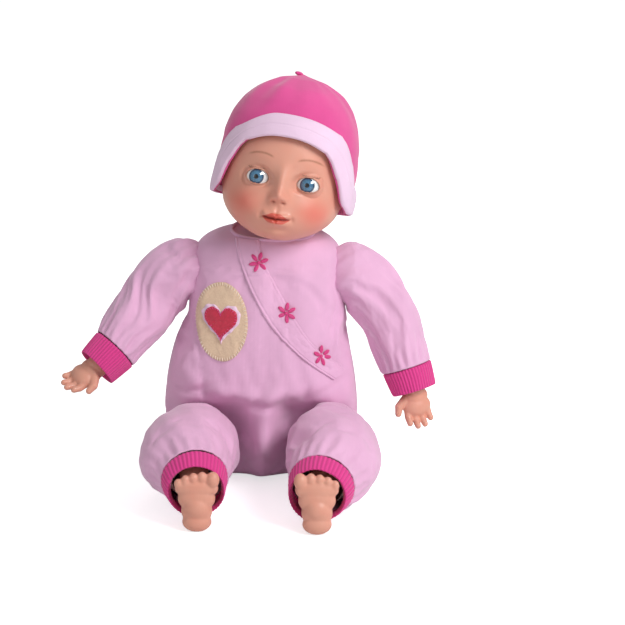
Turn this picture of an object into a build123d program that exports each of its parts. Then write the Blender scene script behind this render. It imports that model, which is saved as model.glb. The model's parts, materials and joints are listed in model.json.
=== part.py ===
"""A seated soft-bodied baby doll in a jersey romper and a knitted hat.

Millimetres, +Z up. The doll sits on the plane z = 0 and faces -Y, and the origin is the middle of
its seat. "left" and "right" are the viewer's, so left is -X.
"""
from build123d import *
import math
import os

os.makedirs("parts", exist_ok=True)

# ---- driving dimensions -----------------------------------------------------------------------
CLOTH = 1.4                # wall of a layer of jersey, as modelled
LINING = 1.2               # wall of the doll's own body cloth
VINYL = 2.4                # wall of a moulded vinyl piece
LAYER_GAP = 0.3            # air between one layer and the next
JOINT_GAP = 0.4            # air between two pieces that move on each other

# the trunk, from the seat up: height, centre across, centre in depth, half width, half depth
TRUNK = [
    (0, 0, 9, 58, 36),
    (10, 0, 8, 72, 46),
    (34, -1, 7, 77, 51),
    (62, -1, 8, 78, 52),
    (86, -1, 9, 76, 51),
    (108, 0, 11, 72, 49),
    (124, 2, 12, 68, 47),
    (142, 4, 13, 64.5, 45),
    (168, 4, 15, 64.5, 41),
    (184, 5, 15.5, 58, 37),
    (195, 6.5, 14.5, 45, 33.5),
]
TRUNK_SQUARE = 2.35        # roundness of its sections: 2 is an ellipse, 4 a rounded box
NECKLINE_R = 34.5
NECKLINE_RISE = 1          # of the collar's edge above the neck's own plane

NECK_CENTRE = (9, 13, 200)
NECK_LEAN = (-6, 3, 0)
NECK_R = 22
NECK_FLANGE_R = 25.5
NECK_DEPTH = 24            # how far the vinyl neck goes down into the cloth
NECK_CLOTH_TOP = 1.6        # how far the body cloth stands up round the neck

HEAD_CENTRE = (19, 3, 250)
HEAD_TURN = (-10, 10, -4)  # leans back, leans over to +X, looks a little to -X
# the head, from under the chin to the crown: height, centre in depth, half width, half depth
HEAD = [
    (-45, -25, 18, 15),
    (-37, -15, 34, 31),
    (-24, -6, 45.5, 44),
    (-6, -1, 49.5, 51),
    (14, 2, 51, 55),
    (34, 4, 49, 54),
    (50, 5, 41, 46),
    (62, 6, 27, 31),
    (68, 6, 12, 14),
]

EYE_SPACING = 42
EYE_R = 11.8
EYE_DEPTH = -36.5          # eye centres in front of the head's middle
EYE_OPENING = (19.5, 15)
EYE_PIN_R = 1.6
EYE_AXLE_LENGTH = EYE_SPACING + 6

# the hat, down the head: height, centre in depth, half width, half depth
HAT = [
    (-16, 5, 56.5, 62),
    (6, 4.5, 57, 62),
    (26, 4.5, 57, 62),
    (46, 5, 52, 57),
    (62, 6, 40, 45),
    (73, 6.5, 25, 28),
    (79, 6.5, 9, 10),
]
HAT_WALL = 1.8
BRIM_WALL = 2.6
# side view of the hat's edge and of the top of its turned-up brim: depth, height in the head
HAT_EDGE = [(-80, 42), (-57, 36), (-46, 27), (-35, 7), (-25, -11), (-12, -18), (80, -25)]
BRIM_TOP = [(-80, 62), (-52, 55), (-34, 43), (-20, 20), (-11, 5), (0, 1), (80, -6)]

SHOULDER_Y = 14
SHOULDER_R = 25
ARM_SIDES = {
    "left": dict(
        plane=-62.0, sign=-1, shoulder_z=173,
        sleeve=[((-84, 11, 156), (-0.72, -0.12, -0.68), 25.5),
                ((-101, 3, 135), (-0.62, -0.32, -0.72), 25),
                ((-120, -10, 112), (-0.68, -0.36, -0.64), 20)],
        cuff_end=((-135, -18.5, 98.5), (-0.70, -0.38, -0.60), 17.5),
        hand=(-0.80, -0.30, -0.52)),
    "right": dict(
        plane=70.0, sign=1, shoulder_z=170,
        sleeve=[((91, 11, 153), (0.70, -0.10, -0.70), 25.5),
                ((107, 4, 127), (0.50, -0.20, -0.84), 25),
                ((118.5, -5, 95), (0.30, -0.18, -0.93), 20.5)],
        cuff_end=((125, -9, 76), (0.30, -0.20, -0.93), 18),
        hand=(0.16, -0.22, -0.96)),
}
SLEEVE_ARM_GAP = 2.0       # the sleeve is loose on the arm inside it

HIP_Y = -45
HIP_Z = 38.5
HIP_R = 35.5
LEG_RAISE = 38             # degrees that a thigh lifts towards the belly, and a little more
LEG_SIDES = {
    "left": dict(
        hip_x=-56, half_width=36.5, big_toe=1,
        thigh=[((-58, -70, 41), (-0.08, -0.99, 0.03), 38, 35.5),
               ((-58, -93, 41), (0.14, -0.98, -0.10), 35, 32),
               ((-51, -115, 35.5), (0.16, -0.96, -0.20), 26.5, 26.5)],
        cuff_end=((-49, -129, 30), (0.06, -0.99, -0.12), 22),
        sole=(-48.5, -143, 0.8), tip_lean=3),
    "right": dict(
        hip_x=57, half_width=36, big_toe=-1,
        thigh=[((58, -70, 38.5), (0.06, -0.99, 0.02), 37.5, 35.5),
               ((57, -95, 37), (-0.15, -0.98, -0.09), 34.5, 31.8),
               ((48.5, -119, 32), (-0.18, -0.965, -0.18), 26.5, 26.5)],
        cuff_end=((45, -134, 28), (-0.08, -0.99, -0.10), 22.3),
        sole=(45, -151, 1.8), tip_lean=8),
}
# the foot, from the heel to the ball: height, centre behind the sole, half width, half thickness
FOOT = [
    (0.5, 7, 6, 5),
    (6, 7.6, 12, 7.3),
    (17, 7.4, 12.6, 7.2),
    (28, 7, 16.5, 6.8),
    (36, 6.4, 18.3, 6.0),
    (40.5, 6, 17.5, 5),
]
# the toes, from the big one out: place across, height, radius
TOES = [(12.8, 41.2, 5.3), (4.6, 42.8, 4.0), (-2.2, 42.2, 3.8), (-8.4, 40.6, 3.6), (-14, 38, 3.4)]
SHIN_R = 12.4

MODULE_CENTRE = (1, 10, 104)
MODULE_SIZE = (66, 30, 78)
MODULE_WALL = 2.2
BUTTON_R = 9
BUTTON_TRAVEL = 2.2
DOOR_SIZE = (46, 34)
SWITCH_TRAVEL = 3
CELL_R = 5.25
CELL_LENGTH = 44.5


# ---- shapes used by many pieces ---------------------------------------------------------------
def across(direction):
    """The sideways direction of a section that looks along a direction."""
    facing = Vector(*direction)
    side = Vector(0, 0, 1).cross(facing)
    return side if side.length > 0.2 else Vector(1, 0, 0)


def section(plane, half_width, half_height, square=2.0, points=16):
    """A closed rounded outline on a plane, from an ellipse (2) towards a rounded box (4)."""
    outline = []
    for step in range(points):
        angle = 2 * math.pi * step / points
        c, s = math.cos(angle), math.sin(angle)
        reach_x = math.copysign(abs(c) ** (2 / square), c)
        reach_y = math.copysign(abs(s) ** (2 / square), s)
        outline.append((half_width * reach_x, half_height * reach_y))
    with BuildSketch(plane) as face:
        with BuildLine():
            Spline(*outline, periodic=True)
        make_face()
    return face.sketch


def loft_through(faces):
    with BuildPart() as solid:
        loft(sections=faces)
    return solid.part


def tube_through(stations, shrink=0.0):
    """A closed tube through round stations: centre, direction, radius or two radii."""
    faces = []
    for station in stations:
        centre, direction, radii = station[0], station[1], station[2:]
        plane = Plane(origin=centre, x_dir=across(direction), z_dir=direction)
        faces.append(section(plane, radii[0] - shrink, radii[-1] - shrink))
    return loft_through(faces)


def straight_tube(first, second):
    """A straight tube between two round stations."""
    faces = [section(Plane(origin=centre, x_dir=across(direction), z_dir=direction), radius, radius)
             for centre, direction, radius in (first, second)]
    with BuildPart() as solid:
        loft(sections=faces, ruled=True)
    return solid.part


def egg(radius, half_length):
    """A round body about its own upright axis, centred on the origin."""
    with BuildPart() as body:
        with BuildSketch(Plane.XZ):
            Ellipse(radius, half_length)
            Rectangle(2 * radius, 3 * half_length, align=(Align.MAX, Align.CENTER), mode=Mode.SUBTRACT)
        revolve(axis=Axis.Z)
    return body.part


def bore_through(stations, shrink, over=1.5):
    """The inside of a tube, run past both of its ends."""
    first, last = stations[0], stations[-1]
    start = (tuple(Vector(*first[0]) - Vector(*first[1]).normalized() * over),) + first[1:]
    end = (tuple(Vector(*last[0]) + Vector(*last[1]).normalized() * over),) + last[1:]
    return tube_through([start] + stations[1:-1] + [end], shrink)


def finish(builder, name):
    builder.part.label = name
    export_step(builder.part, f"parts/{name}.step")


# ---- the trunk --------------------------------------------------------------------------------
NECK = Plane(Location(NECK_CENTRE, NECK_LEAN))


def trunk_loft(inset, top_rise=0.0):
    faces = []
    for number, (height, x, y, half_width, half_depth) in enumerate(TRUNK):
        level = inset if number == 0 else height - inset * height / 200
        plane = Plane(origin=(x, y, level))
        faces.append(section(plane, half_width - inset, half_depth - inset, TRUNK_SQUARE))
    top = NECK.offset(NECKLINE_RISE + top_rise)
    faces.append(section(top, NECKLINE_R - inset, NECKLINE_R - 3 - inset))
    return loft_through(faces)


def thigh_room(clear):
    """What the two thighs sweep as they lift, which the trunk is cut back from."""
    reach = 90
    with BuildPart() as room:
        for side in LEG_SIDES.values():
            low = side["hip_x"] - side["half_width"] - 2.5 - clear
            width = 2 * (side["half_width"] + 2.5 + clear)
            with BuildSketch(Plane.YZ.offset(low)):
                with Locations((HIP_Y, HIP_Z)):
                    Circle(HIP_R + clear)
                with Locations(Location((HIP_Y, HIP_Z), -LEG_RAISE)):
                    Rectangle(reach, 2 * (HIP_R + clear), align=(Align.MAX, Align.CENTER))
                with Locations((HIP_Y + HIP_R + clear, HIP_Z)):
                    Rectangle(reach, reach, align=(Align.MAX, Align.MAX))
            extrude(amount=width)
    return room.part


def trunk_core(inset, top_rise=0.0):
    """The trunk drawn in by an amount all round, with room for the thighs."""
    with BuildPart() as core:
        add(trunk_loft(inset, top_rise))
        add(thigh_room(2 * JOINT_GAP + inset), mode=Mode.SUBTRACT)
    return core.part


ROMPER_IN = CLOTH
CLOTH_OUT = ROMPER_IN + LAYER_GAP
CLOTH_IN = CLOTH_OUT + LINING
FILL_OUT = CLOTH_IN + LAYER_GAP


def neck_plug_space(radius_extra, below=0.0):
    """The space of the vinyl neck and of the flange at its end."""
    with BuildPart() as space:
        with BuildSketch(NECK.offset(-NECK_DEPTH - below)):
            Circle(NECK_FLANGE_R + radius_extra)
        extrude(amount=6 + below + radius_extra)
        with BuildSketch(NECK.offset(-NECK_DEPTH)):
            Circle(NECK_R + radius_extra)
        extrude(amount=NECK_DEPTH + 30)
    return space.part


with BuildPart() as romper_body:
    add(trunk_core(0))
    add(trunk_core(ROMPER_IN, 0.5), mode=Mode.SUBTRACT)
    with BuildSketch(NECK.offset(-4)):
        Circle(NECK_FLANGE_R + 3.6)
    extrude(amount=12, mode=Mode.SUBTRACT)
finish(romper_body, "romper_body")

with BuildPart() as torso_cloth:
    add(trunk_core(CLOTH_OUT))
    split(bisect_by=NECK.offset(-1), keep=Keep.BOTTOM)
    add(trunk_core(CLOTH_IN), mode=Mode.SUBTRACT)
    with BuildSketch(NECK.offset(-NECK_DEPTH - 8)):
        Circle(NECK_FLANGE_R + 2)
    extrude(amount=NECK_DEPTH + 8 + NECK_CLOTH_TOP)
    add(neck_plug_space(JOINT_GAP, 8), mode=Mode.SUBTRACT)
finish(torso_cloth, "torso_cloth")

MX, MY, MZ = MODULE_CENTRE
MW, MD, MH = MODULE_SIZE
CAVITY_BACK = 14           # room behind the sound module for its door to come off

with BuildPart() as torso_stuffing:
    add(trunk_core(FILL_OUT))
    split(bisect_by=NECK.offset(-10), keep=Keep.BOTTOM)
    with BuildSketch(NECK.offset(-NECK_DEPTH - 8.5)):
        Circle(NECK_FLANGE_R + 3.5)
    extrude(amount=NECK_DEPTH + 20, mode=Mode.SUBTRACT)
    with BuildSketch(Plane.XZ.offset(-(MY + MD / 2 + CAVITY_BACK))):
        with Locations((MX, MZ)):
            RectangleRounded(MW + 2, MH + 2, 5)
    extrude(amount=MD + CAVITY_BACK + 6, mode=Mode.SUBTRACT)
finish(torso_stuffing, "torso_stuffing")

with BuildPart() as neck_tie:
    with BuildSketch(NECK.offset(-0.5)):
        Circle(NECK_FLANGE_R + 3.2)
    extrude(amount=2.6)
    with BuildSketch(NECK.offset(-3)):
        Circle(NECK_FLANGE_R + 2.05)
    extrude(amount=8, mode=Mode.SUBTRACT)
finish(neck_tie, "neck_tie")

with BuildPart() as neckline_binding:
    with BuildSketch(NECK.offset(NECKLINE_RISE + 0.02)):
        Ellipse(NECKLINE_R, NECKLINE_R - 3)
        Ellipse(NECKLINE_R - 1.6, NECKLINE_R - 4.6, mode=Mode.SUBTRACT)
    extrude(amount=1.5)
finish(neckline_binding, "neckline_binding")


CHEST_SKIN = 0.9           # thickness of what is sewn onto the chest


def laid_on_trunk(sketch_part, low, high):
    """The part of a prism that lies between two offsets outside the trunk."""
    with BuildPart() as patch:
        add(sketch_part)
        add(trunk_loft(-high), mode=Mode.INTERSECT)
        add(trunk_loft(-low), mode=Mode.SUBTRACT)
    return patch.part


PLACKET = [(-24, 206), (-14, 172), (5, 138), (38, 104), (58, 88),
           (66, 92), (46, 118), (24, 148), (8, 178), (-4, 206)]
with BuildPart() as placket_prism:
    with BuildSketch(Plane.XZ.offset(5)):
        with BuildLine():
            Polyline(*PLACKET, close=True)
        make_face()
    extrude(amount=60)
with BuildPart() as wrap_placket:
    add(laid_on_trunk(placket_prism.part, 0.02, CHEST_SKIN))
finish(wrap_placket, "wrap_placket")

FLOWERS = [(-1, 187), (20, 147.5), (47, 110.5)]
FLOWER_R = 7
with BuildPart() as flower_prism:
    with BuildSketch(Plane.XZ.offset(5)):
        for spot in FLOWERS:
            with Locations(spot):
                with PolarLocations(FLOWER_R * 0.55, 6):
                    Ellipse(FLOWER_R * 0.5, FLOWER_R * 0.2)
                Circle(FLOWER_R * 0.25)
    extrude(amount=60)
with BuildPart() as embroidered_flowers:
    add(laid_on_trunk(flower_prism.part, CHEST_SKIN + 0.05, CHEST_SKIN + 0.9))
finish(embroidered_flowers, "embroidered_flowers")

MOTIF_CENTRE = (-32, 140)
MOTIF_SIZE = (46, 66)
with BuildPart() as motif_prism:
    with BuildSketch(Plane.XZ.offset(5)):
        with Locations(MOTIF_CENTRE):
            Ellipse(MOTIF_SIZE[0] / 2, MOTIF_SIZE[1] / 2)
    extrude(amount=60)
with BuildPart() as motif_felt:
    add(laid_on_trunk(motif_prism.part, 0.02, CHEST_SKIN))
    add(placket_prism.part, mode=Mode.SUBTRACT)
finish(motif_felt, "motif_felt")

with BuildPart() as heart_prism:
    with BuildSketch(Plane.XZ.offset(5)):
        with Locations((MOTIF_CENTRE[0], MOTIF_CENTRE[1] - 3)):
            with Locations((-7.5, 6), (7.5, 6)):
                Circle(9.5)
            Polygon((-15.4, 2.5), (0, -18), (15.4, 2.5), (0, 9), align=None)
    extrude(amount=60)
with BuildPart() as motif_heart:
    add(laid_on_trunk(heart_prism.part, CHEST_SKIN + 0.05, CHEST_SKIN + 0.9))
    split(bisect_by=Plane.XZ, keep=Keep.TOP)
finish(motif_heart, "motif_heart")

# ---- the head ---------------------------------------------------------------------------------
HEAD_FRAME = Location(HEAD_CENTRE, HEAD_TURN)


def head_plane(right=0.0, back=0.0, up=0.0):
    """A plane across the head, looking up it."""
    return Plane(HEAD_FRAME * Location((right, back, up)))


def head_loft(levels, shrink=0.0, square=2.0, drop=0.0):
    faces = []
    last = len(levels) - 1
    for number, (height, back, half_width, half_depth) in enumerate(levels):
        ends = {0: shrink, last: -shrink}.get(number, 0)
        place = head_plane(0, back, height + ends - (drop if number == 0 else 0))
        faces.append(section(place, half_width - shrink, half_depth - shrink, square))
    return loft_through(faces)


def head_ball(right, back, up, radius):
    return HEAD_FRAME * Location((right, back, up)) * Sphere(radius, mode=Mode.PRIVATE)


def face_plane(back):
    """A plane across the head from side to side, looking out of the face."""
    return Plane(HEAD_FRAME * Location((0, back, 0), (90, 0, 0)))


EYE_PLACES = [-EYE_SPACING / 2, EYE_SPACING / 2]
EYE_LID = 1.7
head_inside = head_loft(HEAD, VINYL)

with BuildPart() as eye_cups:
    for place in EYE_PLACES:
        add(head_ball(place, EYE_DEPTH, 0, EYE_R + JOINT_GAP + EYE_LID))
    split(bisect_by=face_plane(EYE_DEPTH - 0.5), keep=Keep.TOP)

with BuildPart() as head_shell:
    add(head_loft(HEAD))
    add(head_ball(0, -51, -15, 6.8))
    for side in (-1, 1):
        add(HEAD_FRAME * Location((side * 46, 8, -5)) * egg(7.5, 12))
    with BuildSketch(NECK.offset(-NECK_DEPTH)):
        Circle(NECK_R)
    extrude(amount=NECK_DEPTH + 26)
    with BuildSketch(NECK.offset(-NECK_DEPTH)):
        Circle(NECK_FLANGE_R)
    extrude(amount=6)
    add(head_inside, mode=Mode.SUBTRACT)
    with BuildSketch(NECK.offset(-NECK_DEPTH - 1)):
        Circle(NECK_R - VINYL)
    extrude(amount=NECK_DEPTH + 30, mode=Mode.SUBTRACT)
    add(eye_cups.part)
    for place in EYE_PLACES:
        add(head_ball(place, EYE_DEPTH, 0, EYE_R + JOINT_GAP), mode=Mode.SUBTRACT)
    with BuildSketch(face_plane(-62)):
        with Locations(*[(place, 0) for place in EYE_PLACES]):
            Ellipse(EYE_OPENING[0] / 2, EYE_OPENING[1] / 2)
    extrude(amount=-22, mode=Mode.SUBTRACT)
    with BuildSketch(Plane(HEAD_FRAME * Location((-EYE_AXLE_LENGTH / 2 - 1, EYE_DEPTH, 0), (0, 90, 0)))):
        Circle(EYE_PIN_R + JOINT_GAP)
    extrude(amount=EYE_AXLE_LENGTH + 2, mode=Mode.SUBTRACT)
finish(head_shell, "head_shell")

with BuildPart() as neck_plug:
    with BuildSketch(NECK.offset(-NECK_DEPTH + 1)):
        Circle(NECK_R - VINYL - 0.05)
    extrude(amount=VINYL)
finish(neck_plug, "neck_plug")

with BuildPart() as eye_axle:
    with BuildSketch(Plane(HEAD_FRAME * Location((-EYE_AXLE_LENGTH / 2, EYE_DEPTH, 0), (0, 90, 0)))):
        Circle(EYE_PIN_R)
    extrude(amount=EYE_AXLE_LENGTH)
finish(eye_axle, "eye_axle")

for place, name in zip(EYE_PLACES, ("eyeball_left", "eyeball_right")):
    with BuildPart() as eyeball:
        add(head_ball(place, EYE_DEPTH, 0, EYE_R))
        with BuildSketch(Plane(HEAD_FRAME * Location((place - 15, EYE_DEPTH, 0), (0, 90, 0)))):
            Circle(EYE_PIN_R + 0.01)
        extrude(amount=30, mode=Mode.SUBTRACT)
    finish(eyeball, name)

BRACKET_HALF = 3.6
with BuildPart() as eye_bracket:
    with BuildSketch(face_plane(-60)):
        Rectangle(2 * BRACKET_HALF, 12)
    extrude(amount=-(60 + EYE_DEPTH + 6))
    add(head_inside, mode=Mode.INTERSECT)
    with BuildSketch(Plane(HEAD_FRAME * Location((-10, EYE_DEPTH, 0), (0, 90, 0)))):
        Circle(EYE_PIN_R + 0.06)
    extrude(amount=20, mode=Mode.SUBTRACT)
finish(eye_bracket, "eye_bracket")

# the lever hangs behind the eyes, so that it holds them open while the doll sits
WEIGHT_BACK = 13
WEIGHT_DROP = 21
with BuildPart() as eye_weight:
    for side in (-1, 1):
        arm_low = side * (BRACKET_HALF + 1.7) - 1
        with BuildSketch(Plane(HEAD_FRAME * Location((arm_low, EYE_DEPTH, 0), (90, 90, 0)))):
            with BuildLine():
                Polyline((-3, -1), (-1, 3), (3, 2), (WEIGHT_BACK + 3, 4 - WEIGHT_DROP),
                         (WEIGHT_BACK - 3, -WEIGHT_DROP), close=True)
            make_face()
        extrude(amount=2)
    with BuildSketch(Plane(HEAD_FRAME * Location((-BRACKET_HALF - 3.2, EYE_DEPTH, 0), (90, 90, 0)))):
        with Locations((WEIGHT_BACK, 1 - WEIGHT_DROP)):
            Circle(5)
    extrude(amount=2 * BRACKET_HALF + 6.4)
    add(eye_axle.part, mode=Mode.SUBTRACT)
finish(eye_weight, "eye_weight")


# ---- the hat ----------------------------------------------------------------------------------
def side_space(edge, far):
    """All of the head's space between a line drawn in its side view and a far height."""
    with BuildPart() as space:
        with BuildSketch(Plane(HEAD_FRAME * Location((-90, 0, 0), (90, 90, 0)))):
            with BuildLine():
                Polyline(*edge, (80, far), (-80, far), close=True)
            make_face()
        extrude(amount=180)
    return space.part


with BuildPart() as hat_crown:
    add(head_loft(HAT, drop=12))
    add(head_loft(HAT, HAT_WALL, drop=12), mode=Mode.SUBTRACT)
    add(side_space(HAT_EDGE, -90), mode=Mode.SUBTRACT)
finish(hat_crown, "hat_crown")

with BuildPart() as hat_brim:
    add(head_loft(HAT, -BRIM_WALL, drop=12))
    add(head_loft(HAT, -0.05, drop=12), mode=Mode.SUBTRACT)
    add(side_space(HAT_EDGE, -90), mode=Mode.SUBTRACT)
    add(side_space(BRIM_TOP, 110), mode=Mode.SUBTRACT)
finish(hat_brim, "hat_brim")

with BuildPart() as hat_tip:
    add(head_ball(-3, 6.5, 80, 3.4))
    add(head_loft(HAT, -0.02), mode=Mode.SUBTRACT)
finish(hat_tip, "hat_tip")


# ---- the arms ---------------------------------------------------------------------------------
def along(station, direction, distance):
    """The point a distance past a station's centre."""
    return tuple(Vector(*station[0]) + Vector(*direction).normalized() * distance)


def ring(plane, outer, inner, width):
    with BuildPart() as band:
        with BuildSketch(plane):
            Circle(outer)
            Circle(inner, mode=Mode.SUBTRACT)
        extrude(amount=width)
    return band.part


FOREARM_R = 11
TIE_WIDTH = 2.6
for side_name, side in ARM_SIDES.items():
    root = ((side["plane"], SHOULDER_Y, side["shoulder_z"]), (side["sign"], 0, 0), SHOULDER_R)
    sleeve_run = [root] + side["sleeve"]
    elbow, mid, wrist_seam = side["sleeve"]
    cuff_end = side["cuff_end"]

    with BuildPart() as sleeve:
        add(tube_through(sleeve_run))
        add(bore_through(sleeve_run, CLOTH), mode=Mode.SUBTRACT)
    finish(sleeve, f"sleeve_{side_name}")

    with BuildPart() as sleeve_cuff:
        cuff_start = (along(wrist_seam, wrist_seam[1], 0.3), wrist_seam[1], wrist_seam[2] - 0.6)
        add(tube_through([cuff_start, cuff_end]))
        add(bore_through([cuff_start, cuff_end], CLOTH + 0.4), mode=Mode.SUBTRACT)
    finish(sleeve_cuff, f"sleeve_cuff_{side_name}")

    elbow_cut = Plane(origin=along(elbow, elbow[1], 2), z_dir=elbow[1])
    with BuildPart() as upper_arm:
        add(tube_through(sleeve_run, CLOTH + SLEEVE_ARM_GAP))
        split(bisect_by=elbow_cut, keep=Keep.BOTTOM)
        with BuildSketch(elbow_cut):
            Circle(FOREARM_R + 3)
        extrude(amount=6)
        with BuildSketch(elbow_cut.offset(-6)):
            Circle(FOREARM_R + 0.02)
        extrude(amount=20, mode=Mode.SUBTRACT)
    finish(upper_arm, f"upper_arm_{side_name}")

    with BuildPart() as arm_tie:
        add(ring(elbow_cut.offset(1.5), FOREARM_R + 4.8, FOREARM_R + 3.02, TIE_WIDTH))
    finish(arm_tie, f"arm_tie_{side_name}")

    palm_way = side["hand"]
    thumb_way = Vector(*palm_way) + Vector(-side["sign"] * 0.9, -0.35, 0.1)
    forearm = [(along(elbow, elbow[1], 6), elbow[1], FOREARM_R - 1), (mid[0], mid[1], FOREARM_R),
               (wrist_seam[0], wrist_seam[1], FOREARM_R - 0.5), (cuff_end[0], cuff_end[1], 9.5)]
    with BuildPart() as hand:
        with BuildSketch(elbow_cut.offset(-5.5)):
            Circle(FOREARM_R)
        extrude(amount=14.5)
        for first, second in zip(forearm, forearm[1:]):
            add(straight_tube(first, second))
        add(tube_through([
            (along(cuff_end, cuff_end[1], -3), palm_way, 9.2),
            (along(cuff_end, palm_way, 10), palm_way, 13, 9),
            (along(cuff_end, palm_way, 21), palm_way, 13, 8.5),
            (along(cuff_end, palm_way, 30), palm_way, 9, 6)]))
        thumb_root = (along(cuff_end, palm_way, 6), tuple(thumb_way), 5)
        add(tube_through([thumb_root,
                          (along(thumb_root, tuple(thumb_way), 11), tuple(thumb_way), 4.6),
                          (along(thumb_root, tuple(thumb_way), 18), tuple(thumb_way), 3)]))
    finish(hand, f"hand_{side_name}")

# ---- the legs ---------------------------------------------------------------------------------
THIGH_GAP = CLOTH + 1.2    # from the outside of the trousers to the leg in them
HIP_ROUNDING = [(34.4, 0.25), (30.5, 0.51), (22, 0.785), (12, 0.94)]   # behind the hip, share of size

for side_name, side in LEG_SIDES.items():
    hip = (side["hip_x"], HIP_Y, HIP_Z)
    hip_station = (hip, (0, -1, 0), side["half_width"], HIP_R)
    round_end = []
    for behind, share in HIP_ROUNDING:
        place = (side["hip_x"], HIP_Y + behind, HIP_Z)
        round_end.append((place, (0, -1, 0), share * side["half_width"], share * HIP_R))
    leg_run = round_end + [hip_station] + side["thigh"]
    knee, shin_top, ankle_seam = side["thigh"]
    cuff_end = side["cuff_end"]

    with BuildPart() as trouser_leg:
        add(tube_through(leg_run))
        inner_run = [(along(leg_run[0], (0, -1, 0), CLOTH),) + leg_run[0][1:]] + leg_run[1:-1]
        inner_run.append((along(ankle_seam, ankle_seam[1], 1.5),) + ankle_seam[1:])
        add(tube_through(inner_run, CLOTH), mode=Mode.SUBTRACT)
    finish(trouser_leg, f"trouser_leg_{side_name}")

    with BuildPart() as trouser_cuff:
        cuff_start = (along(ankle_seam, ankle_seam[1], 0.6), ankle_seam[1], ankle_seam[2] - 0.6)
        add(tube_through([cuff_start, cuff_end]))
        add(bore_through([cuff_start, cuff_end], CLOTH + 0.4), mode=Mode.SUBTRACT)
    finish(trouser_cuff, f"trouser_cuff_{side_name}")

    shin_cut = Plane(origin=along(knee, knee[1], 22), z_dir=shin_top[1])
    with BuildPart() as thigh:
        thigh_run = [(along(leg_run[0], (0, -1, 0), THIGH_GAP),) + leg_run[0][1:]] + leg_run[1:]
        add(tube_through(thigh_run, THIGH_GAP))
        split(bisect_by=shin_cut, keep=Keep.BOTTOM)
        with BuildSketch(shin_cut):
            Circle(SHIN_R + 4)
        extrude(amount=6)
        with BuildSketch(shin_cut.offset(-8)):
            Circle(SHIN_R + 0.02)
        extrude(amount=20, mode=Mode.SUBTRACT)
    finish(thigh, f"thigh_{side_name}")

    with BuildPart() as leg_tie:
        add(ring(shin_cut.offset(1.5), SHIN_R + 5.8, SHIN_R + 4.02, TIE_WIDTH))
    finish(leg_tie, f"leg_tie_{side_name}")

    foot_frame = Location(side["sole"], (-side["tip_lean"], 0, 0))
    foot_faces = []
    for height, back, half_width, half_depth in FOOT:
        place = Plane(foot_frame * Location((0, back, height)))
        foot_faces.append(section(place, half_width, half_depth, 2.2))
    ankle = foot_frame * Location((0, 10, 20))
    shin_root = shin_cut.offset(3)
    with BuildPart() as foot:
        add(tube_through([(tuple(ankle.position), (0.02, 1, 0.1), SHIN_R),
                          (tuple(Vector(*ankle_seam[0]) - Vector(0, 0, 4)),
                           tuple(-Vector(*ankle_seam[1])), SHIN_R),
                          (tuple(shin_root.origin), tuple(-shin_root.z_dir), SHIN_R - 1)]))
        with BuildSketch(shin_cut.offset(-7.5)):
            Circle(SHIN_R)
        extrude(amount=15.5)
        add(loft_through(foot_faces))
        for across_x, height, radius in TOES:
            place = Location((side["big_toe"] * across_x, 5.6, height))
            add(foot_frame * place * egg(radius, 1.3 * radius))
    finish(foot, f"foot_{side_name}")

# ---- the sound module in the back of the trunk ------------------------------------------------
FRONT = MY - MD / 2        # y of the module's front face
BACK = MY + MD / 2
SPLIT = MY - 2             # where the two halves of its case meet
BUTTON_AT = (MX, MZ - 22)
SPEAKER_AT = (MX, MZ + 14)
SPEAKER_R = 19
SCREW_AT = [(MX + i * (MW / 2 - 6), MZ + j * (MH / 2 - 6)) for i in (-1, 1) for j in (-1, 1)]
DOOR_W, DOOR_H = DOOR_SIZE[0], DOOR_SIZE[1] + 26
BAY_DEPTH = 13
BAY_FLOOR = BACK - BAY_DEPTH
PLATE = 1.6                # thickness of the circuit board and of the battery door


def block(centre_x, centre_z, width, height, y_from, y_to, corner=0.0):
    """A box across the module between two depths."""
    with BuildPart() as body:
        with BuildSketch(Plane.XZ.offset(-y_to)):
            with Locations((centre_x, centre_z)):
                if corner:
                    RectangleRounded(width, height, corner)
                else:
                    Rectangle(width, height)
        extrude(amount=y_to - y_from)
    return body.part


def pegs(places, radius, y_from, y_to):
    with BuildPart() as group:
        with BuildSketch(Plane.XZ.offset(-y_to)):
            with Locations(*places):
                Circle(radius)
        extrude(amount=y_to - y_from)
    return group.part


GRILLE = [(SPEAKER_AT[0] + 7 * i, SPEAKER_AT[1] + 7 * j)
          for i in (-2, -1, 0, 1, 2) for j in (-2, -1, 0, 1, 2) if i * i + j * j < 6]
with BuildPart() as case_front:
    add(block(MX, MZ, MW, MH, FRONT, SPLIT, 5))
    add(block(MX, MZ, MW - 2 * MODULE_WALL, MH - 2 * MODULE_WALL, FRONT + MODULE_WALL, SPLIT, 3),
        mode=Mode.SUBTRACT)
    add(pegs(SCREW_AT, 3.4, FRONT + 1, SPLIT))
    add(pegs(SCREW_AT, 1.1, FRONT + 4, SPLIT), mode=Mode.SUBTRACT)
    add(pegs(GRILLE, 1.6, FRONT - 1, FRONT + MODULE_WALL + 1), mode=Mode.SUBTRACT)
    add(pegs([BUTTON_AT], BUTTON_R + 0.3, FRONT - 1, FRONT + MODULE_WALL + 1), mode=Mode.SUBTRACT)
finish(case_front, "case_front")

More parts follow.
